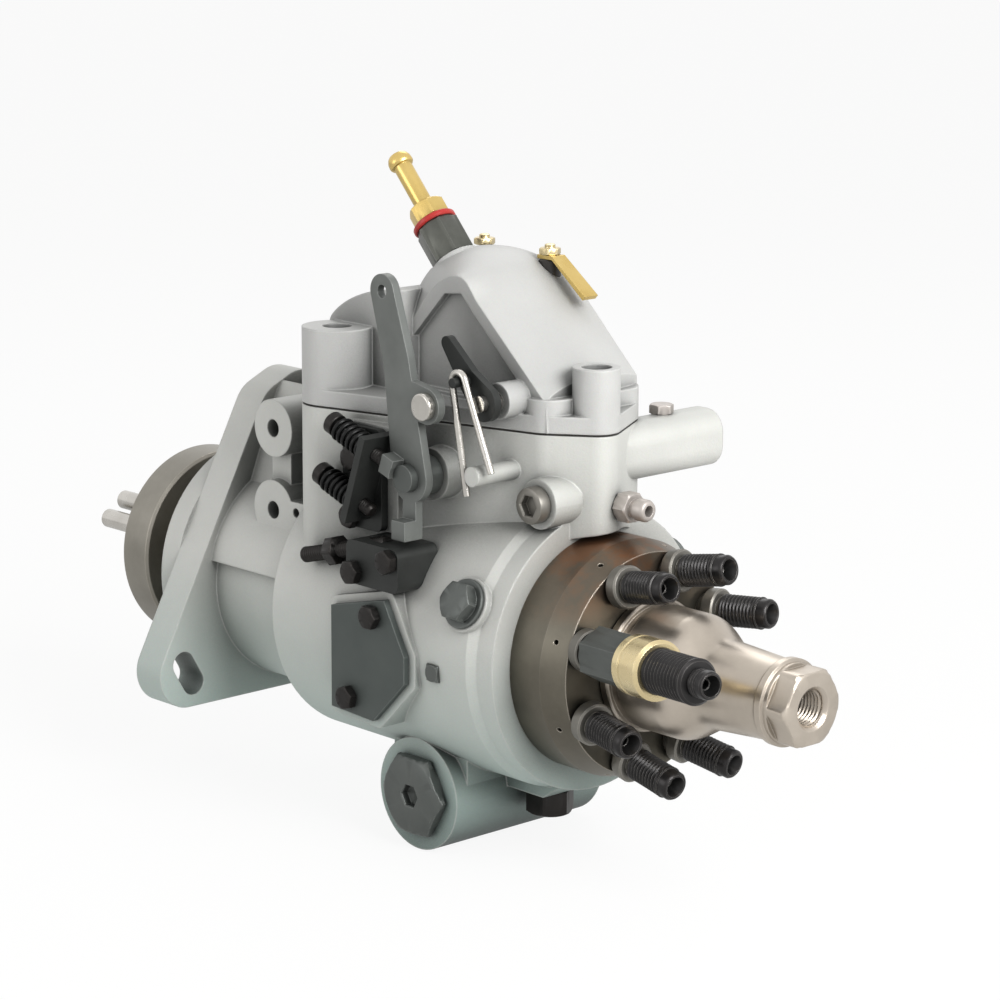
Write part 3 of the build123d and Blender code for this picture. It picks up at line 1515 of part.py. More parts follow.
ear_back = stop_screw_overhang + bracket_t
ear_mid = (
    (idle_tip[0] + full_tip[0]) / 2 - (stop_screw_overhang + bracket_t / 2) * stop_axis[0],
    (idle_tip[1] + full_tip[1]) / 2 - (stop_screw_overhang + bracket_t / 2) * stop_axis[2],
)
with BuildPart() as screw_bracket:
    with BuildSketch(facing_near(bracket_pad_y)):
        with Locations((sum(bracket_base_x) / 2, sum(bracket_base_z) / 2)):
            RectangleRounded(
                bracket_base_x[1] - bracket_base_x[0], bracket_base_z[1] - bracket_base_z[0], 3
            )
    extrude(amount=bracket_t)
    with BuildSketch(facing_near(bracket_pad_y)):
        with Locations(ear_mid):
            Rectangle(bracket_t, bracket_ear_length, rotation=stop_slope)
    extrude(amount=bracket_pad_y - bracket_ear_y)
    with BuildSketch(facing_near(bracket_pad_y)):
        with Locations(*bracket_screws):
            Circle(small_screw_r + free_gap)
    extrude(amount=bracket_t, mode=Mode.SUBTRACT)
    for tip in (idle_tip, full_tip):
        with BuildSketch(stop_plane(tip, ear_back + 1)):
            Circle(stop_screw_r + thread_clear)
        extrude(amount=bracket_t + 2, mode=Mode.SUBTRACT)
finish(screw_bracket.part, "screw_bracket")

with BuildPart() as adjusting_screws:
    for tip in (idle_tip, full_tip):
        with BuildSketch(stop_plane(tip, stop_screw_length)):
            Circle(stop_screw_r)
        extrude(amount=stop_screw_length)
        with BuildSketch(stop_plane(tip, stop_screw_length + stop_head_t)):
            Circle(stop_head_r)
        extrude(amount=stop_head_t)
    trim_plane = along((trim_start[0], trim_screw_y, trim_start[1]), trim_axis)
    trim_length = (sum(trim_block_x) / 2 - trim_start[0]) / trim_axis[0]
    with BuildSketch(trim_plane):
        Circle(trim_screw_r)
    extrude(amount=trim_length)
    with BuildSketch(trim_plane.offset(trim_length / 3)):
        hexagon(trim_nut_hex)
    extrude(amount=trim_nut_t)
finish(adjusting_screws.part, "adjusting_screws")

spring_clear = screw_spring_wire + free_gap
with BuildPart() as screw_springs:
    for tip in (idle_tip, full_tip):
        seat = stop_plane(tip, stop_screw_length - spring_clear)
        with BuildLine() as wire:
            Helix(
                pitch=screw_spring_pitch,
                height=stop_screw_length - ear_back - 2 * spring_clear,
                radius=screw_spring_r,
                center=seat.origin,
                direction=stop_axis,
            )
        with BuildSketch(Plane(origin=wire.line @ 0, z_dir=wire.line % 0)):
            Circle(screw_spring_wire)
        sweep(is_frenet=True)
finish(screw_springs.part, "screw_springs")

with BuildPart() as trim_block:
    with BuildSketch(facing_near(trim_block_y[1])):
        with Locations((sum(trim_block_x) / 2, sum(trim_block_z) / 2)):
            RectangleRounded(trim_block_x[1] - trim_block_x[0], trim_block_z[1] - trim_block_z[0], 3)
    extrude(amount=trim_block_y[1] - trim_block_y[0])
    with BuildSketch(across(trim_block_x[0] - 1)):
        Circle(barrel_r + seat_clear)
    extrude(amount=trim_block_x[1] - trim_block_x[0] + 2, mode=Mode.SUBTRACT)
    with BuildSketch(trim_plane):
        Circle(trim_screw_r + thread_clear)
    extrude(amount=trim_length + free_gap, mode=Mode.SUBTRACT)
    with BuildSketch(facing_near(trim_block_y[1])):
        with Locations(*block_screws):
            Circle(small_screw_r + free_gap)
    extrude(amount=trim_block_y[1] - trim_block_y[0], mode=Mode.SUBTRACT)
finish(trim_block.part, "trim_block")

# Throttle shaft with its inner arm, the lever and the bright pin in it
with BuildPart() as throttle_shaft:
    with BuildSketch(facing_near(throttle_far_y)):
        with Locations((throttle_x, throttle_z)):
            Circle(throttle_r)
    extrude(amount=throttle_far_y - throttle_end_y)
    with BuildSketch(facing_near(throttle_boss_y - free_gap)):
        with Locations((throttle_x, throttle_z)):
            Circle(throttle_collar_r)
    extrude(amount=throttle_boss_y - free_gap - lever_y)
    with BuildSketch(facing_near(throttle_arm_half_t)):
        with Locations((throttle_x, throttle_z)):
            Circle(throttle_r + 1)
        with Locations((throttle_x, throttle_z + throttle_arm_length)):
            Circle(throttle_r - 1)
        make_hull()
    extrude(amount=2 * throttle_arm_half_t)
finish(throttle_shaft.part, "throttle_shaft")

nose_mid = (
    idle_tip[0] + (free_gap + lever_nose_length / 2) * stop_axis[0],
    idle_tip[1] + (free_gap + lever_nose_length / 2) * stop_axis[2],
)
with BuildPart() as throttle_lever:
    for first, first_r, second, second_r in (
        (lever_top, lever_top_r, lever_mid, lever_mid_r),
        (lever_mid, lever_mid_r, (throttle_x, throttle_z), lever_hub_r),
        (lever_pin_place, lever_ear_r, lever_ear_root, lever_mid_r),
    ):
        with BuildSketch(facing_near(lever_y)):
            with Locations(first):
                Circle(first_r)
            with Locations(second):
                Circle(second_r)
            make_hull()
        extrude(amount=lever_t)
    with BuildSketch(facing_near(lever_y)):
        with Locations((throttle_x, (throttle_z + lever_tail_z) / 2)):
            Rectangle(2 * lever_tail_half, throttle_z - lever_tail_z)
    extrude(amount=lever_t)
    with BuildSketch(facing_near(lever_y)):
        with Locations(nose_mid):
            Rectangle(lever_nose_length, 2 * lever_tail_half, rotation=stop_slope)
        with Locations((throttle_x, lever_tail_z + lever_tail_half)):
            Rectangle(2 * lever_tail_half, 2 * lever_tail_half)
    extrude(amount=lever_y - stop_screw_y + stop_screw_r)
    with BuildSketch(facing_near(lever_y)):
        with Locations((throttle_x, throttle_z)):
            Circle(throttle_r + seat_clear)
        with Locations(lever_top):
            Circle(lever_top_hole_r)
        with Locations(lever_pin_place):
            Circle(lever_pin_shank_r + seat_clear)
    extrude(amount=lever_y - stop_screw_y + stop_screw_r, mode=Mode.SUBTRACT)
finish(throttle_lever.part, "throttle_lever")

with BuildPart() as lever_pin:
    with BuildSketch(facing_near(lever_y)):
        with Locations(lever_pin_place):
            Circle(lever_pin_shank_r)
    extrude(amount=lever_t)
    with BuildSketch(facing_near(lever_y - lever_t)):
        with Locations(lever_pin_place):
            Circle(lever_pin_r)
    extrude(amount=lever_pin_out)
    pin_edge = lever_pin.edges().filter_by(GeomType.CIRCLE).sort_by(Axis.Y)[0]
    fillet(pin_edge, radius=0.8)
finish(lever_pin.part, "lever_pin")

# Shut-off shaft, its lever with the hook pin, and the hairpin spring
with BuildPart() as shutoff_shaft:
    with BuildSketch(facing_near(shutoff_inner_y)):
        with Locations((shutoff_x, shutoff_z)):
            Circle(shutoff_r)
    extrude(amount=shutoff_inner_y - shutoff_outer_y)
    with BuildSketch(facing_near(shutoff_inner_y)):
        with Locations((shutoff_x, shutoff_z)):
            Circle(shutoff_r + 1)
        with Locations((shutoff_x - 1, joint_z)):
            Circle(shutoff_r - 1)
        make_hull()
    extrude(amount=shutoff_lever_t)
finish(shutoff_shaft.part, "shutoff_shaft")

with BuildPart() as shutoff_lever:
    with BuildSketch(facing_near(shutoff_lever_y)):
        with Locations((shutoff_x, shutoff_z)):
            Circle(shutoff_hub_r)
        with Locations(hook_pin):
            Circle(shutoff_hub_r - 2)
        make_hull()
    extrude(amount=shutoff_lever_t)
    with BuildSketch(facing_near(shutoff_lever_y)):
        with Locations(hook_pin):
            Circle(shutoff_hub_r - 2)
        with Locations(hook_tip):
            Circle(shutoff_hub_r - 4)
        make_hull()
    extrude(amount=shutoff_lever_t)
    with BuildSketch(facing_near(shutoff_lever_y)):
        with Locations((shutoff_x, shutoff_z)):
            Circle(shutoff_r + seat_clear)
    extrude(amount=shutoff_lever_t, mode=Mode.SUBTRACT)
    with BuildSketch(facing_near(shutoff_lever_y)):
        with Locations(hook_pin):
            Circle(hook_pin_r)
    extrude(amount=shutoff_lever_y - hairpin_y + hairpin_wire + hook_pin_r)
finish(shutoff_lever.part, "shutoff_lever")

loop_r = hook_pin_r + hairpin_wire + free_gap


def loop_touch(foot, side):
    """Where a leg from its foot meets the loop round the hook pin."""
    to_pin = (hook_pin[0] - foot[0], hook_pin[1] - foot[1])
    reach = sqrt(to_pin[0] ** 2 + to_pin[1] ** 2)
    run = sqrt(reach**2 - loop_r**2)
    unit = (to_pin[0] / reach, to_pin[1] / reach)
    ahead = run * run / reach
    aside = side * run * loop_r / reach
    x = foot[0] + ahead * unit[0] - aside * unit[1]
    z = foot[1] + ahead * unit[1] + aside * unit[0]
    return (x, z)


with BuildPart() as hairpin_spring:
    near_foot, far_foot = hairpin_feet
    near_touch = loop_touch(near_foot, 1)
    far_touch = loop_touch(far_foot, -1)
    with BuildLine(facing_near(hairpin_y)) as hairpin_path:
        Line(near_foot, near_touch)
        ThreePointArc(near_touch, (hook_pin[0], hook_pin[1] + loop_r), far_touch)
        Line(far_touch, far_foot)
    with BuildSketch(Plane(origin=hairpin_path.line @ 0, z_dir=hairpin_path.line % 0)):
        Circle(hairpin_wire)
    sweep()
finish(hairpin_spring.part, "hairpin_spring")

# Solenoid, armature and terminals in the cover
with BuildPart() as solenoid_coil:
    with BuildSketch(level(solenoid_z0)):
        with Locations((solenoid_x, solenoid_y)):
            Circle(solenoid_r)
    extrude(amount=solenoid_z1 - solenoid_z0)
    with BuildSketch(level(solenoid_z1)):
        with Locations((solenoid_x, solenoid_y)):
            Circle(solenoid_spigot_r)
    extrude(amount=solenoid_top_z - solenoid_z1)
finish(solenoid_coil.part, "solenoid_coil")

with BuildPart() as solenoid_armature:
    with BuildSketch(level(solenoid_z0 - free_gap - armature_t)):
        with Locations((solenoid_x, solenoid_y)):
            Circle(armature_r)
    extrude(amount=armature_t)
finish(solenoid_armature.part, "solenoid_armature")

with BuildPart() as terminal_insulators:
    with BuildSketch(level(terminal_foot_z)):
        with Locations(*[(x, terminal_y) for x in terminal_x]):
            Circle(terminal_sleeve_r)
            Circle(terminal_r + seat_clear, mode=Mode.SUBTRACT)
    extrude(amount=terminal_sleeve_z - terminal_foot_z)
finish(terminal_insulators.part, "terminal_insulators")

with BuildPart() as terminal_studs:
    with BuildSketch(level(terminal_foot_z - 2)):
        with Locations(*[(x, terminal_y) for x in terminal_x]):
            Circle(terminal_r)
    extrude(amount=terminal_top_z - terminal_foot_z + 2)
    with BuildSketch(level(terminal_sleeve_z + terminal_blade_t + seat_clear)):
        with Locations(*[(x, terminal_y) for x in terminal_x]):
            hexagon(terminal_nut)
    extrude(amount=terminal_nut_t)
finish(terminal_studs.part, "terminal_studs")

blade_z = terminal_sleeve_z + seat_clear / 2
with BuildPart() as terminal_blade:
    with BuildSketch(facing_near(terminal_y + terminal_blade_w / 2)):
        with BuildLine():
            Polyline(
                (terminal_x[1] - terminal_blade_w / 2, blade_z),
                (terminal_x[1] + terminal_sleeve_r + free_gap, blade_z),
                terminal_blade_tip,
                (terminal_blade_tip[0] + terminal_blade_t, terminal_blade_tip[1] + terminal_blade_t),
                (terminal_x[1] + terminal_sleeve_r + free_gap, blade_z + terminal_blade_t),
                (terminal_x[1] - terminal_blade_w / 2, blade_z + terminal_blade_t),
                close=True,
            )
        make_face()
    extrude(amount=terminal_blade_w)
    with BuildSketch(level(blade_z)):
        with Locations((terminal_x[1], terminal_y)):
            Circle(terminal_r + seat_clear)
    extrude(amount=terminal_blade_t, mode=Mode.SUBTRACT)
finish(terminal_blade.part, "terminal_blade")

# Leaning return fitting: steel adaptor, red washer and brass hose barb
with BuildPart() as return_adaptor:
    with BuildSketch(return_plane(-adaptor_spigot)):
        Circle(adaptor_spigot_r)
    extrude(amount=adaptor_spigot)
    with BuildSketch(return_plane(0)):
        hexagon(adaptor_hex)
    extrude(amount=adaptor_length)
    with BuildSketch(return_plane(-adaptor_spigot)):
        Circle(fitting_bore_r)
    extrude(amount=adaptor_spigot + adaptor_length, mode=Mode.SUBTRACT)
    with BuildSketch(return_plane(adaptor_length - adaptor_spigot)):
        Circle(barb_r + seat_clear)
    extrude(amount=adaptor_spigot, mode=Mode.SUBTRACT)
finish(return_adaptor.part, "return_adaptor")

with BuildPart() as return_washer:
    with BuildSketch(return_plane(adaptor_length)):
        Circle(washer_r)
        Circle(barb_r + seat_clear, mode=Mode.SUBTRACT)
    extrude(amount=washer_t)
finish(return_washer.part, "return_washer")

barb_base = adaptor_length + washer_t
barb_start = barb_base + barb_hex_t
bulge_start = barb_start + barb_length - barb_bulge_t - barb_cone_t
with BuildPart() as return_barb:
    with BuildSketch(return_plane(barb_base - adaptor_spigot - washer_t + free_gap)):
        Circle(barb_r)
    extrude(amount=adaptor_spigot + washer_t - free_gap + barb_hex_t + barb_length)
    with BuildSketch(return_plane(barb_base)):
        hexagon(barb_hex)
    extrude(amount=barb_hex_t)
    with BuildSketch(return_plane(bulge_start)):
        Circle(barb_bulge_r)
    extrude(amount=barb_bulge_t)
    with BuildSketch(return_plane(bulge_start + barb_bulge_t)):
        Circle(barb_bulge_r)
    with BuildSketch(return_plane(bulge_start + barb_bulge_t + barb_cone_t)):
        Circle(barb_r)
    loft()
    with BuildSketch(return_plane(barb_base - adaptor_spigot - washer_t)):
        Circle(fitting_bore_r)
    extrude(amount=adaptor_spigot + washer_t + barb_hex_t + barb_length, mode=Mode.SUBTRACT)
finish(return_barb.part, "return_barb")
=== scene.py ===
import bpy
import bmesh
from math import cos, pi, radians, sin, sqrt, tau
from mathutils import Matrix, Quaternion, Vector


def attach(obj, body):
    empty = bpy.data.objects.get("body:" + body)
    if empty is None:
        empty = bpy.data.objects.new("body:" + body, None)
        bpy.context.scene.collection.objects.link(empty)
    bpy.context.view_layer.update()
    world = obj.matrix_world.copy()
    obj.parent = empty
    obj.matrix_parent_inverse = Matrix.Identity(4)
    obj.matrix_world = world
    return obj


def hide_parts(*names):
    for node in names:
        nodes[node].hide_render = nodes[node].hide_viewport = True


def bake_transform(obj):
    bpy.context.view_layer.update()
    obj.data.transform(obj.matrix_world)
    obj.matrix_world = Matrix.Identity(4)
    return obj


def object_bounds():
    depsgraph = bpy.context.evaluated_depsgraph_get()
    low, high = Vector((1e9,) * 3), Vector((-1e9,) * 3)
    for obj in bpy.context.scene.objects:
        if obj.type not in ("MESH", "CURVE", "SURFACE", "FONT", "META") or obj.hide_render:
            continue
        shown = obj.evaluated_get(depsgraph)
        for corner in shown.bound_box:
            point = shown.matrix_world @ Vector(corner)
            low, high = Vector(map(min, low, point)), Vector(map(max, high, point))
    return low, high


# Rotary distributor injection pump, lever side and outlet end towards the camera.
# Sizes below are in millimetres unless a note says otherwise.

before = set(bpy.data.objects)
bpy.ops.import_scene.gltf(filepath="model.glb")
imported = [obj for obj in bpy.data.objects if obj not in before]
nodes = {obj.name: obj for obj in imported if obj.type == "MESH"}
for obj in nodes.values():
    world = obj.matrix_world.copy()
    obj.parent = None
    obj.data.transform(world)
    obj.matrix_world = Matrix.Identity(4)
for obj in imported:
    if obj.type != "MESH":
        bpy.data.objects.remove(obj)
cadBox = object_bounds()
mm = 0.001
print("frame loaded:", len(nodes), "nodes")


# small helpers

def tone(code):
    # sRGB hex to the linear colour that shaders use
    parts = [int(code[i:i + 2], 16) / 255 for i in (1, 3, 5)]
    return tuple(c / 12.92 if c <= 0.04045 else ((c + 0.055) / 1.055) ** 2.4 for c in parts) + (1.0,)


def addNode(tree, kind, settings=None, links=None, **inputs):
    # one node with its settings, plain inputs and incoming links
    node = tree.nodes.new(kind)
    for name, value in (settings or {}).items():
        setattr(node, name, value)
    for name, value in inputs.items():
        node.inputs[name].default_value = value
    for name, source in (links or {}).items():
        tree.links.new(source, node.inputs[name])
    return node


def blend(tree, share, first, second, kind="MIX"):
    # mix two colours; the colour sockets of this node are told apart by number only
    node = addNode(tree, "ShaderNodeMix", {"data_type": "RGBA", "blend_type": kind})
    for socket, value in ((0, share), (6, first), (7, second)):
        if isinstance(value, bpy.types.NodeSocket):
            tree.links.new(value, node.inputs[socket])
        else:
            node.inputs[socket].default_value = value
    return node.outputs[2]


def newMaterial(name):
    material = bpy.data.materials.new(name)
    material.use_nodes = True
    tree = material.node_tree
    tree.nodes.clear()
    shader = addNode(tree, "ShaderNodeBsdfPrincipled")
    output = addNode(tree, "ShaderNodeOutputMaterial", links={"Surface": shader.outputs[0]})
    return material, tree, shader, output


print("materials")
# Object coordinates are metres, so a pattern of s millimetres has the scale 1000 / s.


# colour of the painted shade in corners and gaps
paintedShadeTone = "#262a29"


def paintedCornerShade(tree, colour, reach, depth):
    # painted shade: darker where surfaces close in on each other, where shade falls
    close = addNode(tree, "ShaderNodeAmbientOcclusion", {"samples": 4}, Distance=reach)
    share = addNode(tree, "ShaderNodeMapRange", links={"Value": close.outputs["AO"]},
                    **{"From Min": 0.15, "From Max": 0.95, "To Min": depth, "To Max": 0.0})
    return blend(tree, share.outputs["Result"], colour, tone(paintedShadeTone))


def paleEdgesWornAndHighlit(tree, rounded, colour, pale, share):
    # paler where the rounded normal leaves the face's own: partly metal rubbed bare along an edge, partly a
    # painted highlight on the edge
    facing = addNode(tree, "ShaderNodeNewGeometry").outputs["Normal"]
    turned = addNode(tree, "ShaderNodeVectorMath", {"operation": "DOT_PRODUCT"}, {0: rounded, 1: facing})
    edge = addNode(tree, "ShaderNodeMapRange", links={"Value": turned.outputs["Value"]},
                   **{"From Min": 0.995, "From Max": 0.85, "To Min": 0.0, "To Max": share})
    return blend(tree, edge.outputs["Result"], colour, tone(pale))


def paintedShadeAndPaleEdges(tree, shader, colour, soft, reach, depth, pale, share):
    # painted shade darkens the corners, and edges are paler, partly as wear and partly as a painted
    # highlight; gives back the normal with its edges softened
    rounded = addNode(tree, "ShaderNodeBevel", {"samples": 4}, Radius=soft * mm).outputs["Normal"]
    shadedPaleEdged = paleEdgesWornAndHighlit(tree, rounded, paintedCornerShade(tree, colour, reach, depth), pale, share)
    tree.links.new(shadedPaleEdged, shader.inputs["Base Color"])
    return rounded


def surfaced(tree, shader, relief, pattern, least, most, metallic):
    # the relief, the metal, and a dullness that follows the pattern of the colour
    rough = addNode(tree, "ShaderNodeMapRange", links={"Value": pattern.outputs["Fac"]},
                    **{"To Min": least, "To Max": most})
    tree.links.new(rough.outputs["Result"], shader.inputs["Roughness"])
    tree.links.new(relief.outputs["Normal"], shader.inputs["Normal"])
    shader.inputs["Metallic"].default_value = metallic


def driftingColour(name, light, dark, **noise):
    # a new material whose colour drifts between two tones
    material, tree, shader = newMaterial(name)[:3]
    place = addNode(tree, "ShaderNodeTexCoord").outputs["Object"]
    pattern = addNode(tree, "ShaderNodeTexNoise", links={"Vector": place}, **noise)
    colour = blend(tree, pattern.outputs["Fac"], tone(dark), tone(light))
    return material, tree, shader, place, pattern, colour


def castMetal(name, light, dark, tint, pale="#dcdcd8", grain=0.7, roughness=0.5, metallic=0.2):
    # cast aluminium: grit of the mould, blotches of about 35 mm and swells of 7 mm
    material, tree, shader, place, blotch, base = driftingColour(
        name, light, dark, Scale=28.0, Detail=4.0, Roughness=0.6)
    # the lower barrel has a cool green cast
    split = addNode(tree, "ShaderNodeSeparateXYZ", links={"Vector": place})
    low = addNode(tree, "ShaderNodeMapRange", links={"Value": split.outputs["Z"]},
                  **{"From Min": 0.015, "From Max": -0.06})
    tinted = blend(tree, low.outputs["Result"], base, tone(tint))
    grit = addNode(tree, "ShaderNodeTexNoise", links={"Vector": place}, Scale=1000 / grain, Detail=3.0)
    swell = addNode(tree, "ShaderNodeTexNoise", links={"Vector": place}, Scale=140.0, Detail=2.0)
    speck = blend(tree, 0.10, tinted, grit.outputs["Color"], "OVERLAY")
    # painted shade reaches 34 mm into the corners of the castings
    rounded = paintedShadeAndPaleEdges(tree, shader, speck, 1.0, 0.034, 0.92, pale, 0.6)
    wave = addNode(tree, "ShaderNodeBump", links={"Height": swell.outputs["Fac"], "Normal": rounded},
                   Strength=0.22, Distance=0.0006)
    pits = addNode(
        tree, "ShaderNodeBump", links={"Height": grit.outputs["Fac"], "Normal": wave.outputs["Normal"]},
        Strength=0.25, Distance=0.0003,
    )
    surfaced(tree, shader, pits, blotch, roughness - 0.08, roughness + 0.10, metallic)
    return material


def turnedSteel(name, light, dark, pitch=0.35, roughness=0.3, rust=None):
    # steel left from the lathe: rings along the pump's axis, a stain in spots of about 20 mm, pale edges that
    # are partly wear and partly a painted highlight
    material, tree, shader, place, stain, colour = driftingColour(
        name, light, dark, Scale=45.0, Detail=5.0, Roughness=0.65)
    split = addNode(tree, "ShaderNodeSeparateXYZ", links={"Vector": place})
    if rust:
        # old fuel has dried brown on the upper side
        height = addNode(tree, "ShaderNodeMapRange", links={"Value": split.outputs["Z"]},
                         **{"From Min": 0.018, "From Max": 0.048})
        spots = addNode(tree, "ShaderNodeMapRange", links={"Value": stain.outputs["Fac"]},
                        **{"From Min": 0.46, "From Max": 0.60, "To Min": 0.15, "To Max": 0.9})
        patch = addNode(tree, "ShaderNodeMath", {"operation": "MULTIPLY"},
                        {0: height.outputs["Result"], 1: spots.outputs["Result"]})
        colour = blend(tree, patch.outputs[0], colour, tone(rust))
    along = addNode(tree, "ShaderNodeCombineXYZ", links={"X": split.outputs["X"]})
    rings = addNode(tree, "ShaderNodeTexNoise", {"noise_dimensions": "3D"}, {"Vector": along.outputs[0]},
                    Scale=1000 / pitch, Detail=2.0)
    rounded = paintedShadeAndPaleEdges(tree, shader, colour, 0.6, 0.01, 0.6, "#cfc6b9", 0.7)
    groove = addNode(tree, "ShaderNodeBump", links={"Height": rings.outputs["Fac"], "Normal": rounded},
                     Strength=0.12, Distance=0.0002)
    surfaced(tree, shader, groove, stain, roughness - 0.06, roughness + 0.14, 0.9)
    return material


def smallFinish(name, light, dark, roughness=0.35, metallic=0.9, soft=0.3, pale=None):
    # small parts: colour drifts over about 11 mm, a skin of 0.7 mm grain, softened edges made paler, partly
    # as wear and partly as a painted highlight
    material, tree, shader, place, drift, colour = driftingColour(
        name, light, dark, Scale=90.0, Detail=4.0, Roughness=0.6)
    fine = addNode(tree, "ShaderNodeTexNoise", links={"Vector": place}, Scale=1400.0, Detail=2.0)
    rounded = paintedShadeAndPaleEdges(tree, shader, colour, soft, 0.006, 0.5, pale or light, 0.7)
    skin = addNode(tree, "ShaderNodeBump", links={"Height": fine.outputs["Fac"], "Normal": rounded},
                   Strength=0.08, Distance=0.0002)
    surfaced(tree, shader, skin, drift, max(0.05, roughness - 0.08), roughness + 0.12, metallic)
    return material


finishes = {
    # sand-cast aluminium, bare: pale grey, matt, greyer and greener low down
    "housing": castMetal("castAluminium", "#dcdcd7", "#c7c8c3", "#a8bab4"),
    # the same metal after blasting: finer grit, a little darker, with a broad soft highlight
    "cover": castMetal("blastedCoverCasting", "#d1d1ce", "#bcbcba", "#b6b8b5", "#f0f0ed", grain=0.6,
                       roughness=0.48, metallic=0.12),
    # pressed fibre paper: a dull dark line
    "gasket": smallFinish("gasketPaper", "#3a3733", "#24211f", 0.85, 0.0),
    # oiled black oxide: nearly black with a soft glint, paler on thread crests, partly as bare steel from
    # wear and partly as a painted highlight
    "blackScrew": smallFinish("blackOxideScrew", "#34312f", "#1d1b1a", 0.38, 0.7),
    "thread": smallFinish("blackOxideThread", "#3d3b3b", "#242323", 0.33, 0.75, soft=0.25, pale="#8f8b87"),
    # bare steel under thin oil: mid grey, half shiny
    "collar": smallFinish("bareSteelCollar", "#8f8c85", "#6c6963", 0.4, 0.7, pale="#c4c0b8"),
    # turned steel: fine rings catch the light, warmer where fuel has dried on it
    "headSteel": turnedSteel("turnedHeadSteel", "#7c776b", "#524e46", pitch=0.5, roughness=0.36,
                             rust="#8f5a33"),
    "innerSteel": turnedSteel("turnedInnerSteel", "#8f857a", "#6b6257", pitch=0.5, roughness=0.34),
    "capSteel": turnedSteel("turnedNoseSteel", "#d3c9bc", "#a89e92", pitch=0.6),
    "hubSteel": turnedSteel("turnedHubSteel", "#a5a198", "#757168", pitch=0.5, roughness=0.36),
    # ground steel: almost a mirror
    "bright": smallFinish("groundSteel", "#d9d6d0", "#b4b0a9", 0.24, 0.95),
    # zinc plate, passivated: dull silver on the nipple, dark grey on the plugs
    "nipple": smallFinish("dullZincNipple", "#cbc3bd", "#a59f99", 0.42, 0.55, pale="#e2ddd8"),
    "plug": smallFinish("zincGreyPlug", "#676a67", "#4f5351", 0.42, 0.6, soft=0.5, pale="#8b8e8b"),
    # primed pressed steel: even grey-green with paler edges
    "plate": smallFinish("primedPlate", "#565c59", "#454b49", 0.48, 0.4, soft=0.6, pale="#8b918e"),
    # chromated stamping: mid grey, silky
    "lever": smallFinish("chromatedLever", "#7e817e", "#636663", 0.44, 0.5, soft=0.5, pale="#a7a9a6"),
    # phosphated steel: dark, slightly grainy, hardly shiny; lighter along the edges, partly where a spanner
    # has rubbed it and partly as a painted highlight
    "block": smallFinish("phosphatedBlock", "#3a3c3a", "#262726", 0.45, 0.5),
    "adaptor": smallFinish("phosphatedAdaptor", "#6f706a", "#4c4d48", 0.3, 0.8, pale="#8b8c86"),
    # drawn spring wire, oiled: black with a thin bright line
    "spring": smallFinish("oiledSpringWire", "#2a2a2a", "#171717", 0.35, 0.8),
    # turned brass: yellow and shiny; the zinc-plated kind is paler
    "brass": smallFinish("turnedBrass", "#e9d08a", "#cdab5c", 0.26, 0.95),
    "paleBrass": smallFinish("paleZincBrass", "#f0dfb4", "#cdb98a", 0.25, 0.9),
    # red moulded seal: even colour, soft sheen
    "redWasher": smallFinish("redSealWasher", "#c8342f", "#a82824", 0.35, 0.0),
    # sintered bronze: brown and oily
    "bronze": smallFinish("bearingBronze", "#a9814b", "#8a6639", 0.35, 0.9),
    # nitrile rubber: black and dull
    "rubber": smallFinish("sealRubber", "#1b1b1b", "#101010", 0.6, 0.0),
    # moulded phenolic: dark brown, even
    "insulator": smallFinish("mouldedInsulator", "#2b2622", "#191614", 0.45, 0.0),
    # varnished copper wire: deep red brown, glossy
    "winding": smallFinish("varnishedWinding", "#7a3a1d", "#54260f", 0.3, 0.2),
}

finishNodes = {
    "housing": ["pump_housing"],
    "cover": ["governor_cover"],
    "gasket": ["cover_gasket"],
    "blackScrew": ["cover_screws", "head_locating_screw", "small_screws", "adjusting_screws"],
    "bronze": ["shaft_bush"],
    "rubber": ["shaft_seals"],
    "hubSteel": ["drive_hub"],
    "bright": [
        "drive_shaft", "drive_dowels", "thrust_sleeve", "arm_pivot_pin", "distributor_rotor",
        "transfer_blades", "pumping_plungers", "cam_rollers", "advance_pin", "advance_piston",
        "metering_valve", "transfer_liner", "regulator_piston", "solenoid_armature", "lever_pin",
        "shutoff_shaft", "hairpin_spring",
    ],
    "innerSteel": [
        "weight_cage", "flyweight_1", "flyweight_2", "flyweight_3", "flyweight_4", "governor_arm",
        "roller_shoes", "cam_ring",
    ],
    "spring": ["governor_spring", "advance_spring", "screw_springs"],
    "plug": ["advance_plugs", "head_locking_screws", "side_plugs", "throttle_shaft"],
    "headSteel": ["hydraulic_head"],
    "thread": ["outlet_connectors", "long_outlet"],
    "paleBrass": ["long_outlet_ring", "terminal_studs"],
    "capSteel": ["inlet_cap"],
    "nipple": ["vent_nipple"],
    "adaptor": ["return_adaptor"],
    "redWasher": ["return_washer"],
    "brass": ["return_barb", "terminal_blade"],
    "winding": ["solenoid_coil"],
    "insulator": ["terminal_insulators"],
    "plate": ["timing_cover"],
    "block": ["screw_bracket", "trim_block", "shutoff_lever"],
    "lever": ["throttle_lever"],
}
for finishName, nodeNames in finishNodes.items():
    for nodeName in nodeNames:
        data = nodes[nodeName].data
        data.materials.clear()
        data.materials.append(finishes[finishName])

scene = bpy.context.scene

# shape helpers

sharpAngle = 32.0  # degrees; a steeper edge stays sharp
cornerCut = 0.49  # a hex with its corners just turned off, as a share of its width over the flats
chamferRun = 1.732  # a hex chamfer of 30 degrees goes in this much for each part that it goes down
fitGap = 0.05  # a ring or sleeve stands this far off what it holds
mergeGap = 0.0005  # points closer than this become one


def asObject(name, made, covers, body="casing"):
    # a finished piece from one mesh or a list: smooth except at real edges, riding on its body
    mesh = joined(name, made) if isinstance(made, list) else made
    mesh.shade_smooth()
    mesh.set_sharp_from_angle(angle=radians(sharpAngle))
    piece = bpy.data.objects.new(name, mesh)
    scene.collection.objects.link(piece)
    if body:
        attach(piece, body)
    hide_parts(*covers)
    return piece


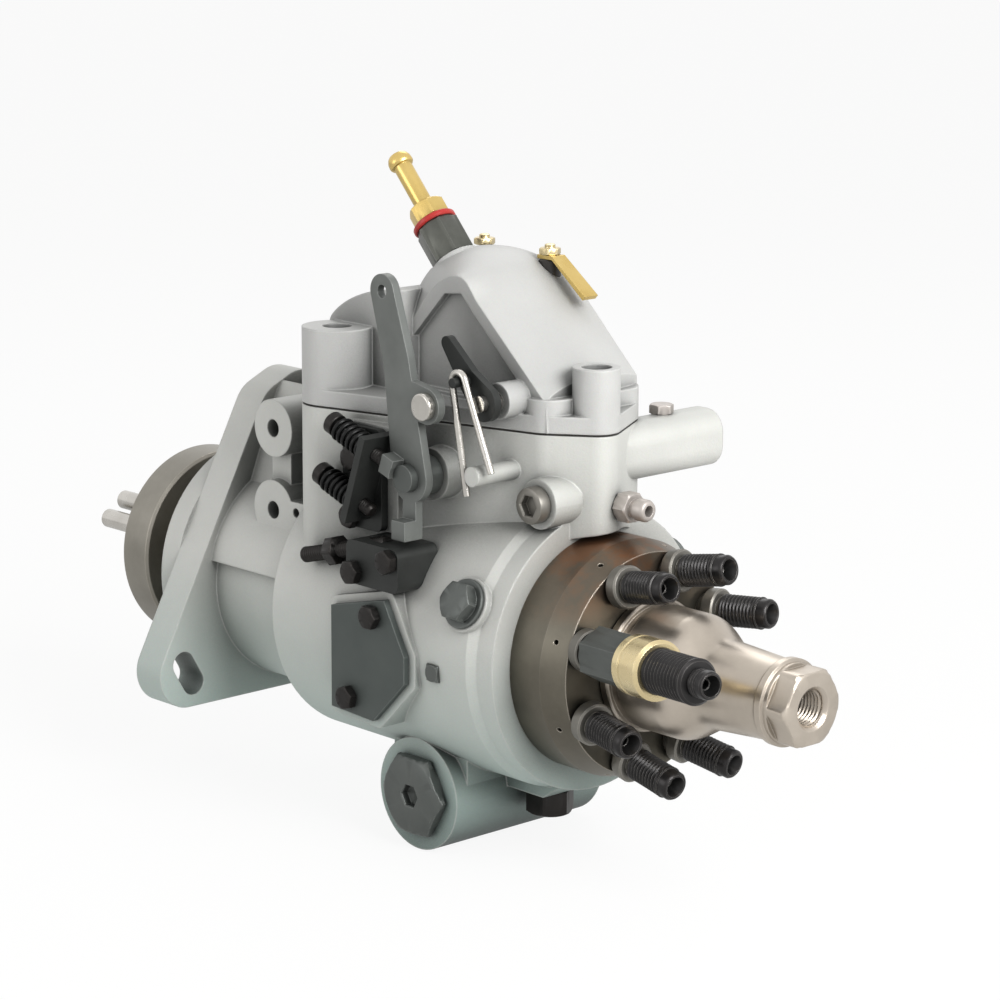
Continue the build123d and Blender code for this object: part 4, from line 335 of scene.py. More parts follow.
def seat(origin, direction, sideways=(1, 0, 0)):
    # local Z runs along direction, local X as near to sideways as it can
    zAxis = Vector(direction).normalized()
    xAxis = Vector(sideways) - zAxis * zAxis.dot(Vector(sideways))
    xAxis.normalize()
    yAxis = zAxis.cross(xAxis)
    place = Matrix((xAxis, yAxis, zAxis)).transposed().to_4x4()
    place.translation = Vector(origin)
    return place


def flats(size):
    # radius of a hexagon of that size over its flats, corners on local X
    return lambda angle: size / 2 / cos((angle % (tau / 6)) - tau / 12)


def capped(shape, limit):
    # the turned chamfer of a hex head cuts its corners round
    return lambda angle: min(shape(angle), limit)


def threadRings(start, end, radius, depth, pitch, steps=6):
    # helical ridge: the radius falls and rises once a pitch, and once a turn
    rings = []
    count = int(round((end - start) / pitch * steps))
    for number in range(count + 1):
        distance = start + (end - start) * number / count
        fade = min(1.0, (distance - start) / pitch, (end - distance) / pitch)

        def ridge(angle, distance=distance, fade=fade):
            phase = (distance / pitch - angle / tau) % 1.0
            return radius - depth * fade * abs(2 * phase - 1)
        rings.append((distance, ridge))
    return rings


def ringMesh(name, parts, place, around=48, turned=0.0):
    # parts: [(rings, finish name)], each ring (distance, radius or radius of angle); neighbours share rings
    shape = bmesh.new()
    mesh = bpy.data.meshes.new(name)
    for finishNumber, (rings, finishName) in enumerate(parts):
        mesh.materials.append(finishes[finishName])
        previous = None
        for distance, radius in rings:
            ring = []
            for number in range(around):
                angle = tau * number / around
                size = radius(angle) if callable(radius) else radius
                turn = angle + turned
                ring.append(shape.verts.new((size * cos(turn), size * sin(turn), distance)))
            if previous:
                for number in range(around):
                    after = (number + 1) % around
                    face = shape.faces.new((previous[number], previous[after], ring[after], ring[number]))
                    face.material_index = finishNumber
            previous = ring
    bmesh.ops.remove_doubles(shape, verts=shape.verts, dist=mergeGap)
    bmesh.ops.dissolve_degenerate(shape, edges=shape.edges, dist=mergeGap)
    bmesh.ops.recalc_face_normals(shape, faces=shape.faces)
    bmesh.ops.transform(shape, matrix=place, verts=shape.verts)
    bmesh.ops.scale(shape, vec=(mm, mm, mm), verts=shape.verts)
    shape.to_mesh(mesh)
    shape.free()
    return mesh


def joined(name, meshes):
    # several meshes of one body as one; materials keep the order in which they first come
    shape = bmesh.new()
    whole = bpy.data.meshes.new(name)
    order = []
    for mesh in meshes:
        for material in mesh.materials:
            if material not in order:
                order.append(material)
    for mesh in meshes:
        before = len(shape.faces)
        shape.from_mesh(mesh)
        shape.faces.ensure_lookup_table()
        for face in shape.faces[before:]:
            face.material_index = order.index(mesh.materials[face.material_index])
    for material in order:
        whole.materials.append(material)
    shape.to_mesh(whole)
    shape.free()
    for mesh in meshes:
        bpy.data.meshes.remove(mesh)
    return whole


def hexRings(start, height, size):
    # a hex head with its corners turned off at the top, and slightly at the foot
    shape = flats(size)
    corner = size / sqrt(3)
    topRadius = size * 0.475
    footRadius = size * 0.5
    rings = [(start, 0), (start, capped(shape, footRadius))]
    rings.append((start + (corner - footRadius) / chamferRun, shape))
    top = start + height
    for share in (1.0, 0.66, 0.33, 0.0):
        limit = topRadius + (corner - topRadius) * share
        rings.append((top - (limit - topRadius) / chamferRun, capped(shape, limit)))
    return rings


# outlets

print("outlets")
outlet = {
    "faceX": 206.0, "circle": 33.5, "splay": 11.0, "phase": 26.0, "count": 8, "long": 1, "radius": 5.85,
    "pitch": 1.5, "depth": 1.05, "length": 27.5, "bore": 1.6, "mouth": 3.6, "mouthDepth": 4.5,
    "collarStart": 1.6, "collarEnd": 6.6, "collarRadius": 7.6, "root": 12.0,
}


def outletSeat(step):
    turn = tau / outlet["count"] * step + radians(outlet["phase"])
    lean = radians(outlet["splay"])
    axis = (cos(lean), -sin(lean) * sin(turn), sin(lean) * cos(turn))
    foot = (outlet["faceX"], -outlet["circle"] * sin(turn), outlet["circle"] * cos(turn))
    return seat(foot, axis, (0, 0, 1))


def shankRings(footEdge, topEdge):
    # the bare shank in the head and its round collar, with the collar's two chamfers
    root, radius, bore = outlet["root"], outlet["radius"], outlet["bore"]
    start, end, collar = outlet["collarStart"], outlet["collarEnd"], outlet["collarRadius"]
    return [
        (-root, bore), (-root, radius), (start, radius), (start, collar - footEdge),
        (start + footEdge, collar), (end - topEdge, collar), (end, collar - topEdge),
    ]


def stubParts():
    root, radius, bore = outlet["root"], outlet["radius"], outlet["bore"]
    collarEnd, length, mouth = outlet["collarEnd"], outlet["length"], outlet["mouth"]
    cone = length - outlet["mouthDepth"]
    waist = (collarEnd + 1.2, radius - 0.9)
    threaded = [waist]
    threaded += threadRings(collarEnd + 1.6, length - 4.2, radius, outlet["depth"], outlet["pitch"])
    threaded += [
        (length - 4.0, radius - 0.55), (length - 1.0, radius - 0.55), (length - 0.3, radius - 0.95),
        (length, radius - 1.35), (length, mouth + 0.25), (length - 0.3, mouth), (cone, bore + 0.3),
        (cone, bore), (-root, bore),
    ]
    collar = shankRings(0.5, 0.6) + [(collarEnd, radius - 0.9), waist]
    return [(collar, "collar"), (threaded, "thread")]


shortSteps = [step for step in range(outlet["count"]) if step != outlet["long"]]
shortStubs = [ringMesh("stub", stubParts(), outletSeat(step)) for step in shortSteps]
asObject("outletStubs", shortStubs, ["outlet_connectors"])

longOutlet = {
    "hex": 17.0, "hexStart": 9.5, "hexEnd": 32.0, "threadRadius": 8.0, "threadEnd": 68.0, "tipRadius": 5.0,
    "tipEnd": 75.0, "ringRadius": 10.5, "ringEnd": 46.0, "threadDepth": 0.95, "threadPitch": 1.8,
    "tipDepth": 0.6, "tipPitch": 1.3,
}


def longParts():
    root, radius, bore = outlet["root"], outlet["radius"], outlet["bore"]
    hexStart, hexEnd, size = longOutlet["hexStart"], longOutlet["hexEnd"], longOutlet["hex"]
    shape = flats(size)
    cut = capped(shape, size * cornerCut)
    slope = (size / sqrt(3) - size * cornerCut) / chamferRun
    threadRadius, threadEnd = longOutlet["threadRadius"], longOutlet["threadEnd"]
    tipRadius, tipEnd = longOutlet["tipRadius"], longOutlet["tipEnd"]
    foot = shankRings(0.4, 0.5) + [(outlet["collarEnd"], radius), (hexStart, radius)]
    body = [
        (hexStart, radius), (hexStart, cut), (hexStart + slope, shape), (hexEnd - slope, shape),
        (hexEnd, cut), (hexEnd, threadRadius), (longOutlet["ringEnd"], threadRadius),
    ]
    tail = threadRings(longOutlet["ringEnd"], threadEnd - 1.0, threadRadius, longOutlet["threadDepth"],
                       longOutlet["threadPitch"])
    tail += [
        (threadEnd - 0.2, threadRadius - 0.9), (threadEnd, tipRadius + 0.6), (threadEnd, tipRadius - 0.4),
    ]
    tail += threadRings(threadEnd + 0.3, tipEnd - 2.0, tipRadius, longOutlet["tipDepth"],
                        longOutlet["tipPitch"])
    tail += [
        (tipEnd - 0.6, tipRadius - 0.3), (tipEnd, tipRadius - 0.9), (tipEnd, outlet["mouth"]),
        (tipEnd - 3.6, bore + 0.4), (tipEnd - 3.6, bore), (-root, bore),
    ]
    return [(foot, "collar"), (body, "plug"), (tail, "thread")]


longSeat = outletSeat(outlet["long"])
longMesh = ringMesh("longOutlet", longParts(), longSeat, around=72)
asObject("longOutlet", longMesh, ["long_outlet"])
# its brass ring, with a groove near the middle
ringFoot, ringTop, ringOuter = longOutlet["hexEnd"], longOutlet["ringEnd"], longOutlet["ringRadius"]
ringHole = longOutlet["threadRadius"] + fitGap
ringProfile = [
    (ringFoot, ringHole), (ringFoot, ringOuter - 0.5), (ringFoot + 0.5, ringOuter),
    (ringFoot + 3.4, ringOuter), (ringFoot + 3.7, ringOuter - 0.35), (ringFoot + 4.3, ringOuter - 0.35),
    (ringFoot + 4.6, ringOuter), (ringTop - 1.0, ringOuter), (ringTop, ringOuter - 1.2),
    (ringTop, ringHole), (ringFoot, ringHole),
]
ringPiece = ringMesh("longOutletRing", [(ringProfile, "paleBrass")], longSeat, around=64)
asObject("longOutletRing", ringPiece, ["long_outlet_ring"])

# inlet nose

print("inlet nose")
nose = {
    "faceX": 206.0, "baseRadius": 24.0, "baseEnd": 4.0, "grooveRadius": 22.0, "grooveEnd": 7.0,
    "bellRadius": 22.5, "bellEnd": 25.0, "neckRadius": 16.0, "neck": 38.0, "ringStart": 65.0,
    "ringEnd": 68.0, "ringRadius": 15.4, "tipRadius": 14.2, "hexStart": 69.5, "end": 78.0, "hex": 25.4,
    "thread": 6.5, "threadLength": 16.0, "threadDepth": 0.9, "threadPitch": 1.5, "bore": 4.0, "well": 6.04,
    "wellEnd": 26.0, "shoulderSteps": 16,
}


def noseParts():
    well, base, bell, tip = nose["well"], nose["baseRadius"], nose["bellRadius"], nose["tipRadius"]
    baseEnd, grooveEnd, bellEnd, end = nose["baseEnd"], nose["grooveEnd"], nose["bellEnd"], nose["end"]
    ringStart, ringEnd, ring = nose["ringStart"], nose["ringEnd"], nose["ringRadius"]
    outer = [
        (0.0, well), (0.0, base - 0.6), (0.6, base), (baseEnd - 0.7, base), (baseEnd, base - 0.7),
        (baseEnd, nose["grooveRadius"]), (grooveEnd, nose["grooveRadius"]), (grooveEnd + 0.4, bell),
        (bellEnd - 2, bell),
    ]
    # the shoulder is one smooth S from the bell to the neck
    for number in range(1, nose["shoulderSteps"] + 1):
        share = number / nose["shoulderSteps"]
        ease = share * share * (3 - 2 * share)
        outer.append((
            bellEnd - 2 + (nose["neck"] + 4 - bellEnd) * share,
            bell + (nose["neckRadius"] - 0.3 - bell) * ease,
        ))
    shape = flats(nose["hex"])
    thread = nose["thread"] + 0.1
    threadStart = end - nose["threadLength"]
    outer += [
        (ringStart - 1.2, tip), (ringStart - 0.8, ring - 0.7), (ringStart, ring), (ringEnd - 0.4, ring),
        (ringEnd, tip + 0.1), (nose["hexStart"], tip), (nose["hexStart"] + 0.1, capped(shape, tip)),
        (end - 1.2, capped(shape, tip)), (end - 0.5, capped(shape, tip - 0.8)),
        (end, capped(shape, tip - 1.7)), (end, nose["thread"] + 1.3), (end - 1.0, thread),
    ]
    mouth = [(end - 1.0, thread)]
    mouth += reversed(threadRings(threadStart, end - 1.0, thread, nose["threadDepth"], nose["threadPitch"]))
    mouth += [
        (threadStart, nose["bore"]), (nose["wellEnd"], nose["bore"]), (nose["wellEnd"], well), (0.0, well),
    ]
    return [(outer, "capSteel"), (mouth, "capSteel")]


noseSeat = seat((nose["faceX"], 0, 0), (1, 0, 0), (0, 1, 0))
asObject("inletNose", ringMesh("inletNose", noseParts(), noseSeat, around=96), ["inlet_cap"])

# hex plugs and screws

print("plugs and screws")


def plugMesh(place, size, height, finishName, stem=None, washer=None, socket=0.0, socketDepth=0.0, around=72,
             turned=0.0):
    # one closed plug: stem below, washer, chamfered hex and its socket
    rings = []
    start = 0.0
    if stem:
        stemRadius, stemLength = stem
        rings += [
            (-stemLength, 0), (-stemLength, stemRadius - 0.4), (-stemLength + 0.4, stemRadius),
            (0, stemRadius),
        ]
    else:
        rings += [(0, 0)]
    if washer:
        washerRadius, washerHeight = washer
        rings += [
            (0, washerRadius - 0.2), (0.2, washerRadius), (washerHeight - 0.3, washerRadius),
            (washerHeight, washerRadius - 0.3),
        ]
        start = washerHeight
    rings += hexRings(start, height, size)[1:]
    top = start + height
    if socket:
        hollow = flats(socket)
        rings += [
            (top, lambda angle: hollow(angle) + 0.4), (top - 0.4, hollow), (top - socketDepth, hollow),
        ]
        rings += [(top - socketDepth - socket * 0.2, 0)]
    else:
        rings += [(top - 0.05, size * 0.2), (top - 0.05, 0)]
    return ringMesh("plug", [(rings, finishName)], place, around, turned)


advance = {
    "x": 126.0, "z": -59.0, "half": 37.0, "hex": 28.5, "height": 4.5, "socket": 7.6, "socketDepth": 3.1,
    "stem": 11.95, "stemLength": 9.0,
}
advanceMeshes = [
    plugMesh(seat((advance["x"], side * advance["half"], advance["z"]), (0, side, 0)), advance["hex"],
             advance["height"], "plug", (advance["stem"], advance["stemLength"]),
             socket=advance["socket"], socketDepth=advance["socketDepth"], around=96)
    for side in (-1, 1)
]
asObject("advancePlugs", advanceMeshes, ["advance_plugs"])

lock = {
    "x": 165.0, "angle": 66.0, "pad": 54.0, "hex": 13.0, "height": 5.0, "washer": 9.0, "washerHeight": 1.5,
    "stem": 4.0, "stemLength": 19.0,
}
lockMeshes = []
for side in (1, -1):
    turn = radians(lock["angle"] * side)
    outwards = Vector((0, -sin(turn), cos(turn)))
    place = seat(Vector((lock["x"], 0, 0)) + outwards * lock["pad"], outwards)
    lockMeshes.append(plugMesh(
        place, lock["hex"], lock["height"], "plug", (lock["stem"], lock["stemLength"]),
        (lock["washer"], lock["washerHeight"]),
    ))
asObject("lockingScrews", lockMeshes, ["head_locking_screws"])

locating = {"x": 157.0, "z": -56.5, "hex": 15.5, "height": 9.8, "stem": 5.0, "stemLength": 21.5}
locatingMesh = plugMesh(
    seat((locating["x"], 0, locating["z"]), (0, 0, -1)), locating["hex"], locating["height"], "blackScrew",
    (locating["stem"], locating["stemLength"]),
)
asObject("locatingScrew", locatingMesh, ["head_locating_screw"])

# the same small hex screw in six places: plate, bracket and block
smallScrew = {
    "hex": 8.0, "height": 3.5, "radius": 2.0, "turn": 0.3,
    "places": [  # under the head, and how far the screw reaches in
        ((124.0, -57.0, 11.0), 8.0), ((111.0, -57.0, -21.5), 8.0), ((101.5, -46.0, 64.0), 8.0),
        ((100.5, -46.0, 42.5), 8.0), ((116.5, -59.0, 26.5), 18.0), ((135.5, -59.0, 33.5), 18.0),
    ],
}
smallMeshes = [
    plugMesh(seat(place, (0, -1, 0)), smallScrew["hex"], smallScrew["height"], "blackScrew",
             (smallScrew["radius"], reach), turned=smallScrew["turn"] * number)
    for number, (place, reach) in enumerate(smallScrew["places"])
]
asObject("smallScrews", smallMeshes, ["small_screws"])

# socket screws sunk in the cover's bosses
coverScrew = {
    "radius": 3.0, "head": 5.2, "headHeight": 5.0, "recess": 2.0, "foot": 64.5, "socket": 5.0,
    "bosses": ((78.0, -34.0, 108.0), (78.0, 34.0, 108.0), (182.0, -3.0, 103.0)),  # x, y and the top's z
}
coverMeshes = []
hollow = flats(coverScrew["socket"])
screwFoot, screwRadius, screwHead = coverScrew["foot"], coverScrew["radius"], coverScrew["head"]
for x, y, top in coverScrew["bosses"]:
    headFoot = top - coverScrew["recess"] - coverScrew["headHeight"]
    headTop = headFoot + coverScrew["headHeight"]
    rings = [
        (screwFoot, 0), (screwFoot, screwRadius - 0.4), (screwFoot + 0.4, screwRadius),
        (headFoot, screwRadius), (headFoot, screwHead), (headTop - 0.5, screwHead),
        (headTop, screwHead - 0.5), (headTop, lambda angle: hollow(angle) + 0.3), (headTop - 0.3, hollow),
        (headTop - 2.6, hollow), (headTop - 3.2, 0),
    ]
    coverMeshes.append(ringMesh("coverScrew", [(rings, "blackScrew")], seat((x, y, 0), (0, 0, 1))))
asObject("coverScrews", coverMeshes, ["cover_screws"])

# return fitting

print("return fitting")
fitting = {
    "base": (104.95, 0.0, 131.6), "lean": 42.5, "hex": 15.0, "hexChamfer": 0.9, "length": 15.8,
    "spigot": 5.0, "spigotRadius": 5.0, "washer": 8.4, "washerHeight": 2.2, "washerEdge": 0.5,
    "barbHex": 12.5, "barbHexHeight": 7.0, "barb": 3.5, "barbTail": 6.9, "bulge": 4.7, "bulgeHeight": 3.0,
    "coneHeight": 2.0, "barbLength": 23.0, "bore": 2.0,
}
leanAxis = Vector((-sin(radians(fitting["lean"])), 0, cos(radians(fitting["lean"]))))
fittingSeat = seat(fitting["base"], leanAxis, (0, 1, 0))
adaptorShape = flats(fitting["hex"])
adaptorCut = capped(adaptorShape, fitting["hex"] * cornerCut)
adaptorEnd, spigot, spigotRadius = fitting["length"], fitting["spigot"], fitting["spigotRadius"]
barb, barbBore, barbHole = fitting["barb"], fitting["bore"], fitting["barb"] + fitGap
adaptorRings = [
    (-spigot, barbBore), (-spigot, spigotRadius), (0, spigotRadius), (0, adaptorCut),
    (fitting["hexChamfer"], adaptorShape), (adaptorEnd - fitting["hexChamfer"], adaptorShape),
    (adaptorEnd, adaptorCut), (adaptorEnd, barbHole), (adaptorEnd - spigot, barbHole),
    (adaptorEnd - spigot, barbBore), (-spigot, barbBore),
]
adaptorMesh = ringMesh("returnAdaptor", [(adaptorRings, "adaptor")], fittingSeat, around=72)
asObject("returnAdaptor", adaptorMesh, ["return_adaptor"])
washer, washerEdge = fitting["washer"], fitting["washerEdge"]
washerTop = adaptorEnd + fitting["washerHeight"]
washerRings = [
    (adaptorEnd, barbHole), (adaptorEnd, washer - washerEdge), (adaptorEnd + washerEdge, washer),
    (washerTop - washerEdge, washer), (washerTop, washer - washerEdge), (washerTop, barbHole),
    (adaptorEnd, barbHole),
]
washerMesh = ringMesh("returnWasher", [(washerRings, "redWasher")], fittingSeat)
asObject("returnWasher", washerMesh, ["return_washer"])
barbEnd = washerTop + fitting["barbHexHeight"]
barbRoot = washerTop - fitting["barbTail"]
barbRings = [(barbRoot, barbBore), (barbRoot, barb), (washerTop, barb)]
barbRings += hexRings(washerTop, fitting["barbHexHeight"], fitting["barbHex"])[1:]
barbRings += [(barbEnd, barb)]
tip = barbEnd + fitting["barbLength"]
bulge, bulgeStart = fitting["bulge"], tip - fitting["bulgeHeight"] - fitting["coneHeight"]
# a short swollen ring holds the hose, rounded on both sides
barbRings += [
    (bulgeStart, barb), (bulgeStart + 0.3, barb + 0.7), (bulgeStart + 0.9, bulge - 0.1),
    (bulgeStart + 1.5, bulge), (tip - fitting["coneHeight"], bulge - 0.15), (tip - 0.5, barb + 0.35),
    (tip, barb - 0.2), (tip, barbBore), (barbRoot, barbBore),
]
barbMesh = ringMesh("returnBarb", [(barbRings, "brass")], fittingSeat, around=72)
asObject("returnBarb", barbMesh, ["return_barb"])

# stop screws, trim screw and their springs

print("stop screws")
stop = {
    "tips": ((124.2, 66.9), (117.5, 47.3)), "y": -51.0, "slope": -19.0, "radius": 2.5, "length": 27.0,
    "threadDepth": 0.45, "threadPitch": 1.0, "headRadius": 4.2, "head": 4.0, "earBack": 8.5,
    "springRadius": 4.0, "springClear": 0.3, "wire": 0.8, "pitch": 2.6,
    "trimStart": (80.0, 25.0), "trimY": -51.5, "trimSlope": 15.0, "trimRadius": 3.0, "trimHex": 10.0,
    "trimNut": 5.0, "trimEnd": 126.0, "trimDepth": 0.5, "trimPitch": 1.25, "turnSteps": 5,
}
stopAxis = Vector((cos(radians(stop["slope"])), 0, sin(radians(stop["slope"]))))
stopHead, headRadius = stop["head"], stop["headRadius"]
stopRadius, stopLength = stop["radius"], stop["length"]
screwMeshes = []
for x, z in stop["tips"]:
    place = seat(Vector((x, stop["y"], z)) - stopAxis * stopLength, stopAxis, (0, 1, 0))
    rings = [
        (-stopHead, 0), (-stopHead, headRadius - 0.5), (-stopHead + 0.5, headRadius), (-0.3, headRadius),
        (0, headRadius - 0.3), (0, stopRadius),
    ]
    rings += threadRings(0.5, stopLength - 1.2, stopRadius, stop["threadDepth"], stop["threadPitch"],
                         stop["turnSteps"])
    rings += [(stopLength - 0.4, stopRadius - 0.4), (stopLength, stopRadius - 0.9), (stopLength, 0)]
    screwMeshes.append(ringMesh("stopScrew", [(rings, "blackScrew")], place, around=32))
trimAxis = Vector((cos(radians(stop["trimSlope"])), 0, sin(radians(stop["trimSlope"]))))
trimLength = (stop["trimEnd"] - stop["trimStart"][0]) / trimAxis.x
trimSeat = seat((stop["trimStart"][0], stop["trimY"], stop["trimStart"][1]), trimAxis, (0, 1, 0))
rings = [(0, 0), (0, stop["trimRadius"] - 0.6), (0.6, stop["trimRadius"])]
rings += threadRings(0.8, trimLength - 1, stop["trimRadius"], stop["trimDepth"], stop["trimPitch"],
                     stop["turnSteps"])
rings += [(trimLength, stop["trimRadius"] - 0.5), (trimLength, 0)]
screwMeshes.append(ringMesh("trimScrew", [(rings, "blackScrew")], trimSeat, around=32))
nutStart = trimLength / 3
nutRings = hexRings(nutStart, stop["trimNut"], stop["trimHex"]) + [(nutStart + stop["trimNut"], 0)]
screwMeshes.append(ringMesh("trimNut", [(nutRings, "blackScrew")], trimSeat, around=72))
asObject("stopScrews", screwMeshes, ["adjusting_screws"])


def sizeInputs(tree, starts):
    # inputs for the sizes and the finish, and the output; gives back each input's identifier
    inputs = {}
    for label, value in starts:
        socket = tree.interface.new_socket(label, in_out="INPUT", socket_type="NodeSocketFloat")
        socket.default_value = value
        inputs[label] = socket.identifier
    finish = tree.interface.new_socket("Finish", in_out="INPUT", socket_type="NodeSocketMaterial")
    inputs["Finish"] = finish.identifier
    tree.interface.new_socket("Geometry", in_out="OUTPUT", socket_type="NodeSocketGeometry")
    return inputs


def sweptWire(tree, given, curve, resolution):
    # round wire along a curve, made real and dressed in its finish
    section = addNode(tree, "GeometryNodeCurvePrimitiveCircle", {"mode": "RADIUS"},
                      {"Radius": given["Wire Radius"]}, Resolution=resolution)
    wire = addNode(tree, "GeometryNodeCurveToMesh",
                   links={"Curve": curve.outputs[0], "Profile Curve": section.outputs[0]},
                   **{"Fill Caps": True})
    real = addNode(tree, "GeometryNodeRealizeInstances", links={"Geometry": wire.outputs[0]})
    dressed = addNode(tree, "GeometryNodeSetMaterial",
                      links={"Geometry": real.outputs[0], "Material": given["Finish"]})
    addNode(tree, "NodeGroupOutput", links={0: dressed.outputs[0]})


def treeResult(tree, inputs, start, values):
    # what a tree makes of a start mesh, as a plain mesh
    host = bpy.data.objects.new("host", start)
    scene.collection.objects.link(host)
    modifier = host.modifiers.new("wire", "NODES")
    modifier.node_group = tree
    for label, value in values.items():
        modifier[inputs[label]] = value
    evaluated = host.evaluated_get(bpy.context.evaluated_depsgraph_get())
    mesh = bpy.data.meshes.new_from_object(evaluated)
    bpy.data.objects.remove(host)
    return mesh


def coilTree(name):
    # Geometry Nodes: a round wire wound along local Z
    tree = bpy.data.node_groups.new(name, "GeometryNodeTree")
    starts = (("Coil Radius", 0.004), ("Wire Radius", 0.0008), ("Height", 0.01), ("Turns", 5.0))
    inputs = sizeInputs(tree, starts)
    given = addNode(tree, "NodeGroupInput").outputs
    winding = addNode(tree, "GeometryNodeCurveSpiral", links={
        "Rotations": given["Turns"], "Start Radius": given["Coil Radius"], "End Radius": given["Coil Radius"],
        "Height": given["Height"],
    }, Resolution=28)
    sweptWire(tree, given, winding, resolution=10)
    return tree, inputs


windingTree, windingInputs = coilTree("wireCoil")


def coilMesh(place, coilRadius, wire, height, turns):
    mesh = treeResult(windingTree, windingInputs, bpy.data.meshes.new("coilStart"), {
        "Coil Radius": coilRadius * mm, "Wire Radius": wire * mm, "Height": height * mm,
        "Turns": float(turns), "Finish": finishes["spring"],
    })
    move = place.copy()
    move.translation = place.translation * mm
    mesh.transform(move)
    return mesh


springGap = stop["wire"] + stop["springClear"]
springHeight = stop["length"] - stop["earBack"] - 2 * springGap
springTurns = springHeight / stop["pitch"]
springMeshes = []
for x, z in stop["tips"]:
    foot = Vector((x, stop["y"], z)) - stopAxis * (stop["length"] - springGap)
    springSeat = seat(foot, stopAxis, (0, 1, 0))
    springMeshes.append(coilMesh(springSeat, stop["springRadius"], stop["wire"], springHeight, springTurns))
asObject("screwSprings", springMeshes, ["screw_springs"])

# governor and advance springs, baked in place and left off every body
inner = {
    "governorStart": (51.6, 0.0, 67.0), "governorLength": 75.3, "governorRadius": 4.0, "governorWire": 0.8,
    "governorPitch": 7.0, "advanceStart": (126.0, -26.7, -59.0), "advanceLength": 11.4,
    "advanceRadius": 8.0, "advanceWire": 1.0, "advancePitch": 4.0,
}
governorCoil = coilMesh(
    seat(inner["governorStart"], (1, 0, 0), (0, 1, 0)), inner["governorRadius"], inner["governorWire"],
    inner["governorLength"], inner["governorLength"] / inner["governorPitch"],
)
governorSpring = asObject("governorSpring", governorCoil, ["governor_spring"], body=None)
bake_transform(governorSpring)
advanceCoil = coilMesh(
    seat(inner["advanceStart"], (0, 1, 0)), inner["advanceRadius"], inner["advanceWire"],
    inner["advanceLength"], inner["advanceLength"] / inner["advancePitch"],
)
advanceSpring = asObject("advanceSpring", advanceCoil, ["advance_spring"], body=None)
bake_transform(advanceSpring)

# plugs, nipple and terminals

print("side plugs and terminals")


def squared(size):
    # radius of a square of that size, corners turned by an eighth
    return lambda angle: size / 2 / cos((angle % (tau / 4)) - tau / 8)


sidePlug = {
    "roundPlace": (176.0, -25.0, 56.0), "roundStem": 6.0, "roundStemLength": 4.0, "roundRadius": 6.6,
    "roundHeight": 5.0, "roundSocket": 7.0, "roundSocketDepth": 3.0, "squarePlace": (152.0, -49.0, -5.0),
    "square": 6.0, "squareHeight": 5.0, "capPlace": (172.0, 40.0, 79.5), "capHex": 8.0, "capHeight": 3.5,
}
socketShape = flats(sidePlug["roundSocket"])
roundTop, roundRadius, roundStem = sidePlug["roundHeight"], sidePlug["roundRadius"], sidePlug["roundStem"]
roundFoot, socketFoot = -sidePlug["roundStemLength"], roundTop - sidePlug["roundSocketDepth"]
roundRings = [
    (roundFoot, 0), (roundFoot, roundStem), (0, roundStem), (0, roundRadius - 0.3), (0.3, roundRadius),
    (roundTop - 0.9, roundRadius), (roundTop - 0.3, roundRadius - 0.3), (roundTop, roundRadius - 0.9),
    (roundTop, lambda angle: socketShape(angle) + 0.4), (roundTop - 0.4, socketShape),
    (socketFoot, socketShape), (socketFoot, 0),
]
squareShape, squareTop = squared(sidePlug["square"]), sidePlug["squareHeight"]
squareRings = [
    (0, 0), (0, squareShape), (squareTop - 0.6, squareShape),
    (squareTop, capped(squareShape, sidePlug["square"] * 0.52)), (squareTop, 0),
]
sideMeshes = [
    ringMesh("roundPlug", [(roundRings, "collar")], seat(sidePlug["roundPlace"], (0, -1, 0)), around=60),
    ringMesh("squarePlug", [(squareRings, "plug")], seat(sidePlug["squarePlace"], (0, -1, 0)), turned=pi / 4),
    plugMesh(seat(sidePlug["capPlace"], (0, 0, 1)), sidePlug["capHex"], sidePlug["capHeight"], "nipple"),
]
asObject("sidePlugs", sideMeshes, ["side_plugs"])

nipple = {
    "place": (190.8, 2.0, 54.0), "stem": 3.5, "stemLength": 7.8, "hex": 10.0, "hexHeight": 6.0,
    "radius": 4.0, "length": 13.0, "bore": 1.8,
}
nippleShape = flats(nipple["hex"])
nippleCut = capped(nippleShape, nipple["hex"] * 0.5)
nippleFoot, hexTop, nippleTop = -nipple["stemLength"], nipple["hexHeight"], nipple["length"]
nippleRadius, nippleBore = nipple["radius"], nipple["bore"]
nippleRings = [
    (nippleFoot, nippleBore), (nippleFoot, nipple["stem"]), (0, nipple["stem"]), (0, nippleCut),
    (0.5, nippleShape), (hexTop - 0.5, nippleShape), (hexTop, nippleCut), (hexTop, nippleRadius - 0.7),
    (hexTop + 1.5, nippleRadius - 0.7), (hexTop + 2.2, nippleRadius), (nippleTop - 1.2, nippleRadius),
    (nippleTop - 0.3, nippleRadius - 0.5), (nippleTop, nippleRadius - 1.0), (nippleTop, nippleBore + 0.3),
    (nippleTop - 0.5, nippleBore), (nippleFoot, nippleBore),
]
nippleSeat = seat(nipple["place"], (1, 0, 0), (0, 1, 0))
nippleMesh = ringMesh("ventNipple", [(nippleRings, "nipple")], nippleSeat, around=60)
asObject("ventNipple", nippleMesh, ["vent_nipple"])

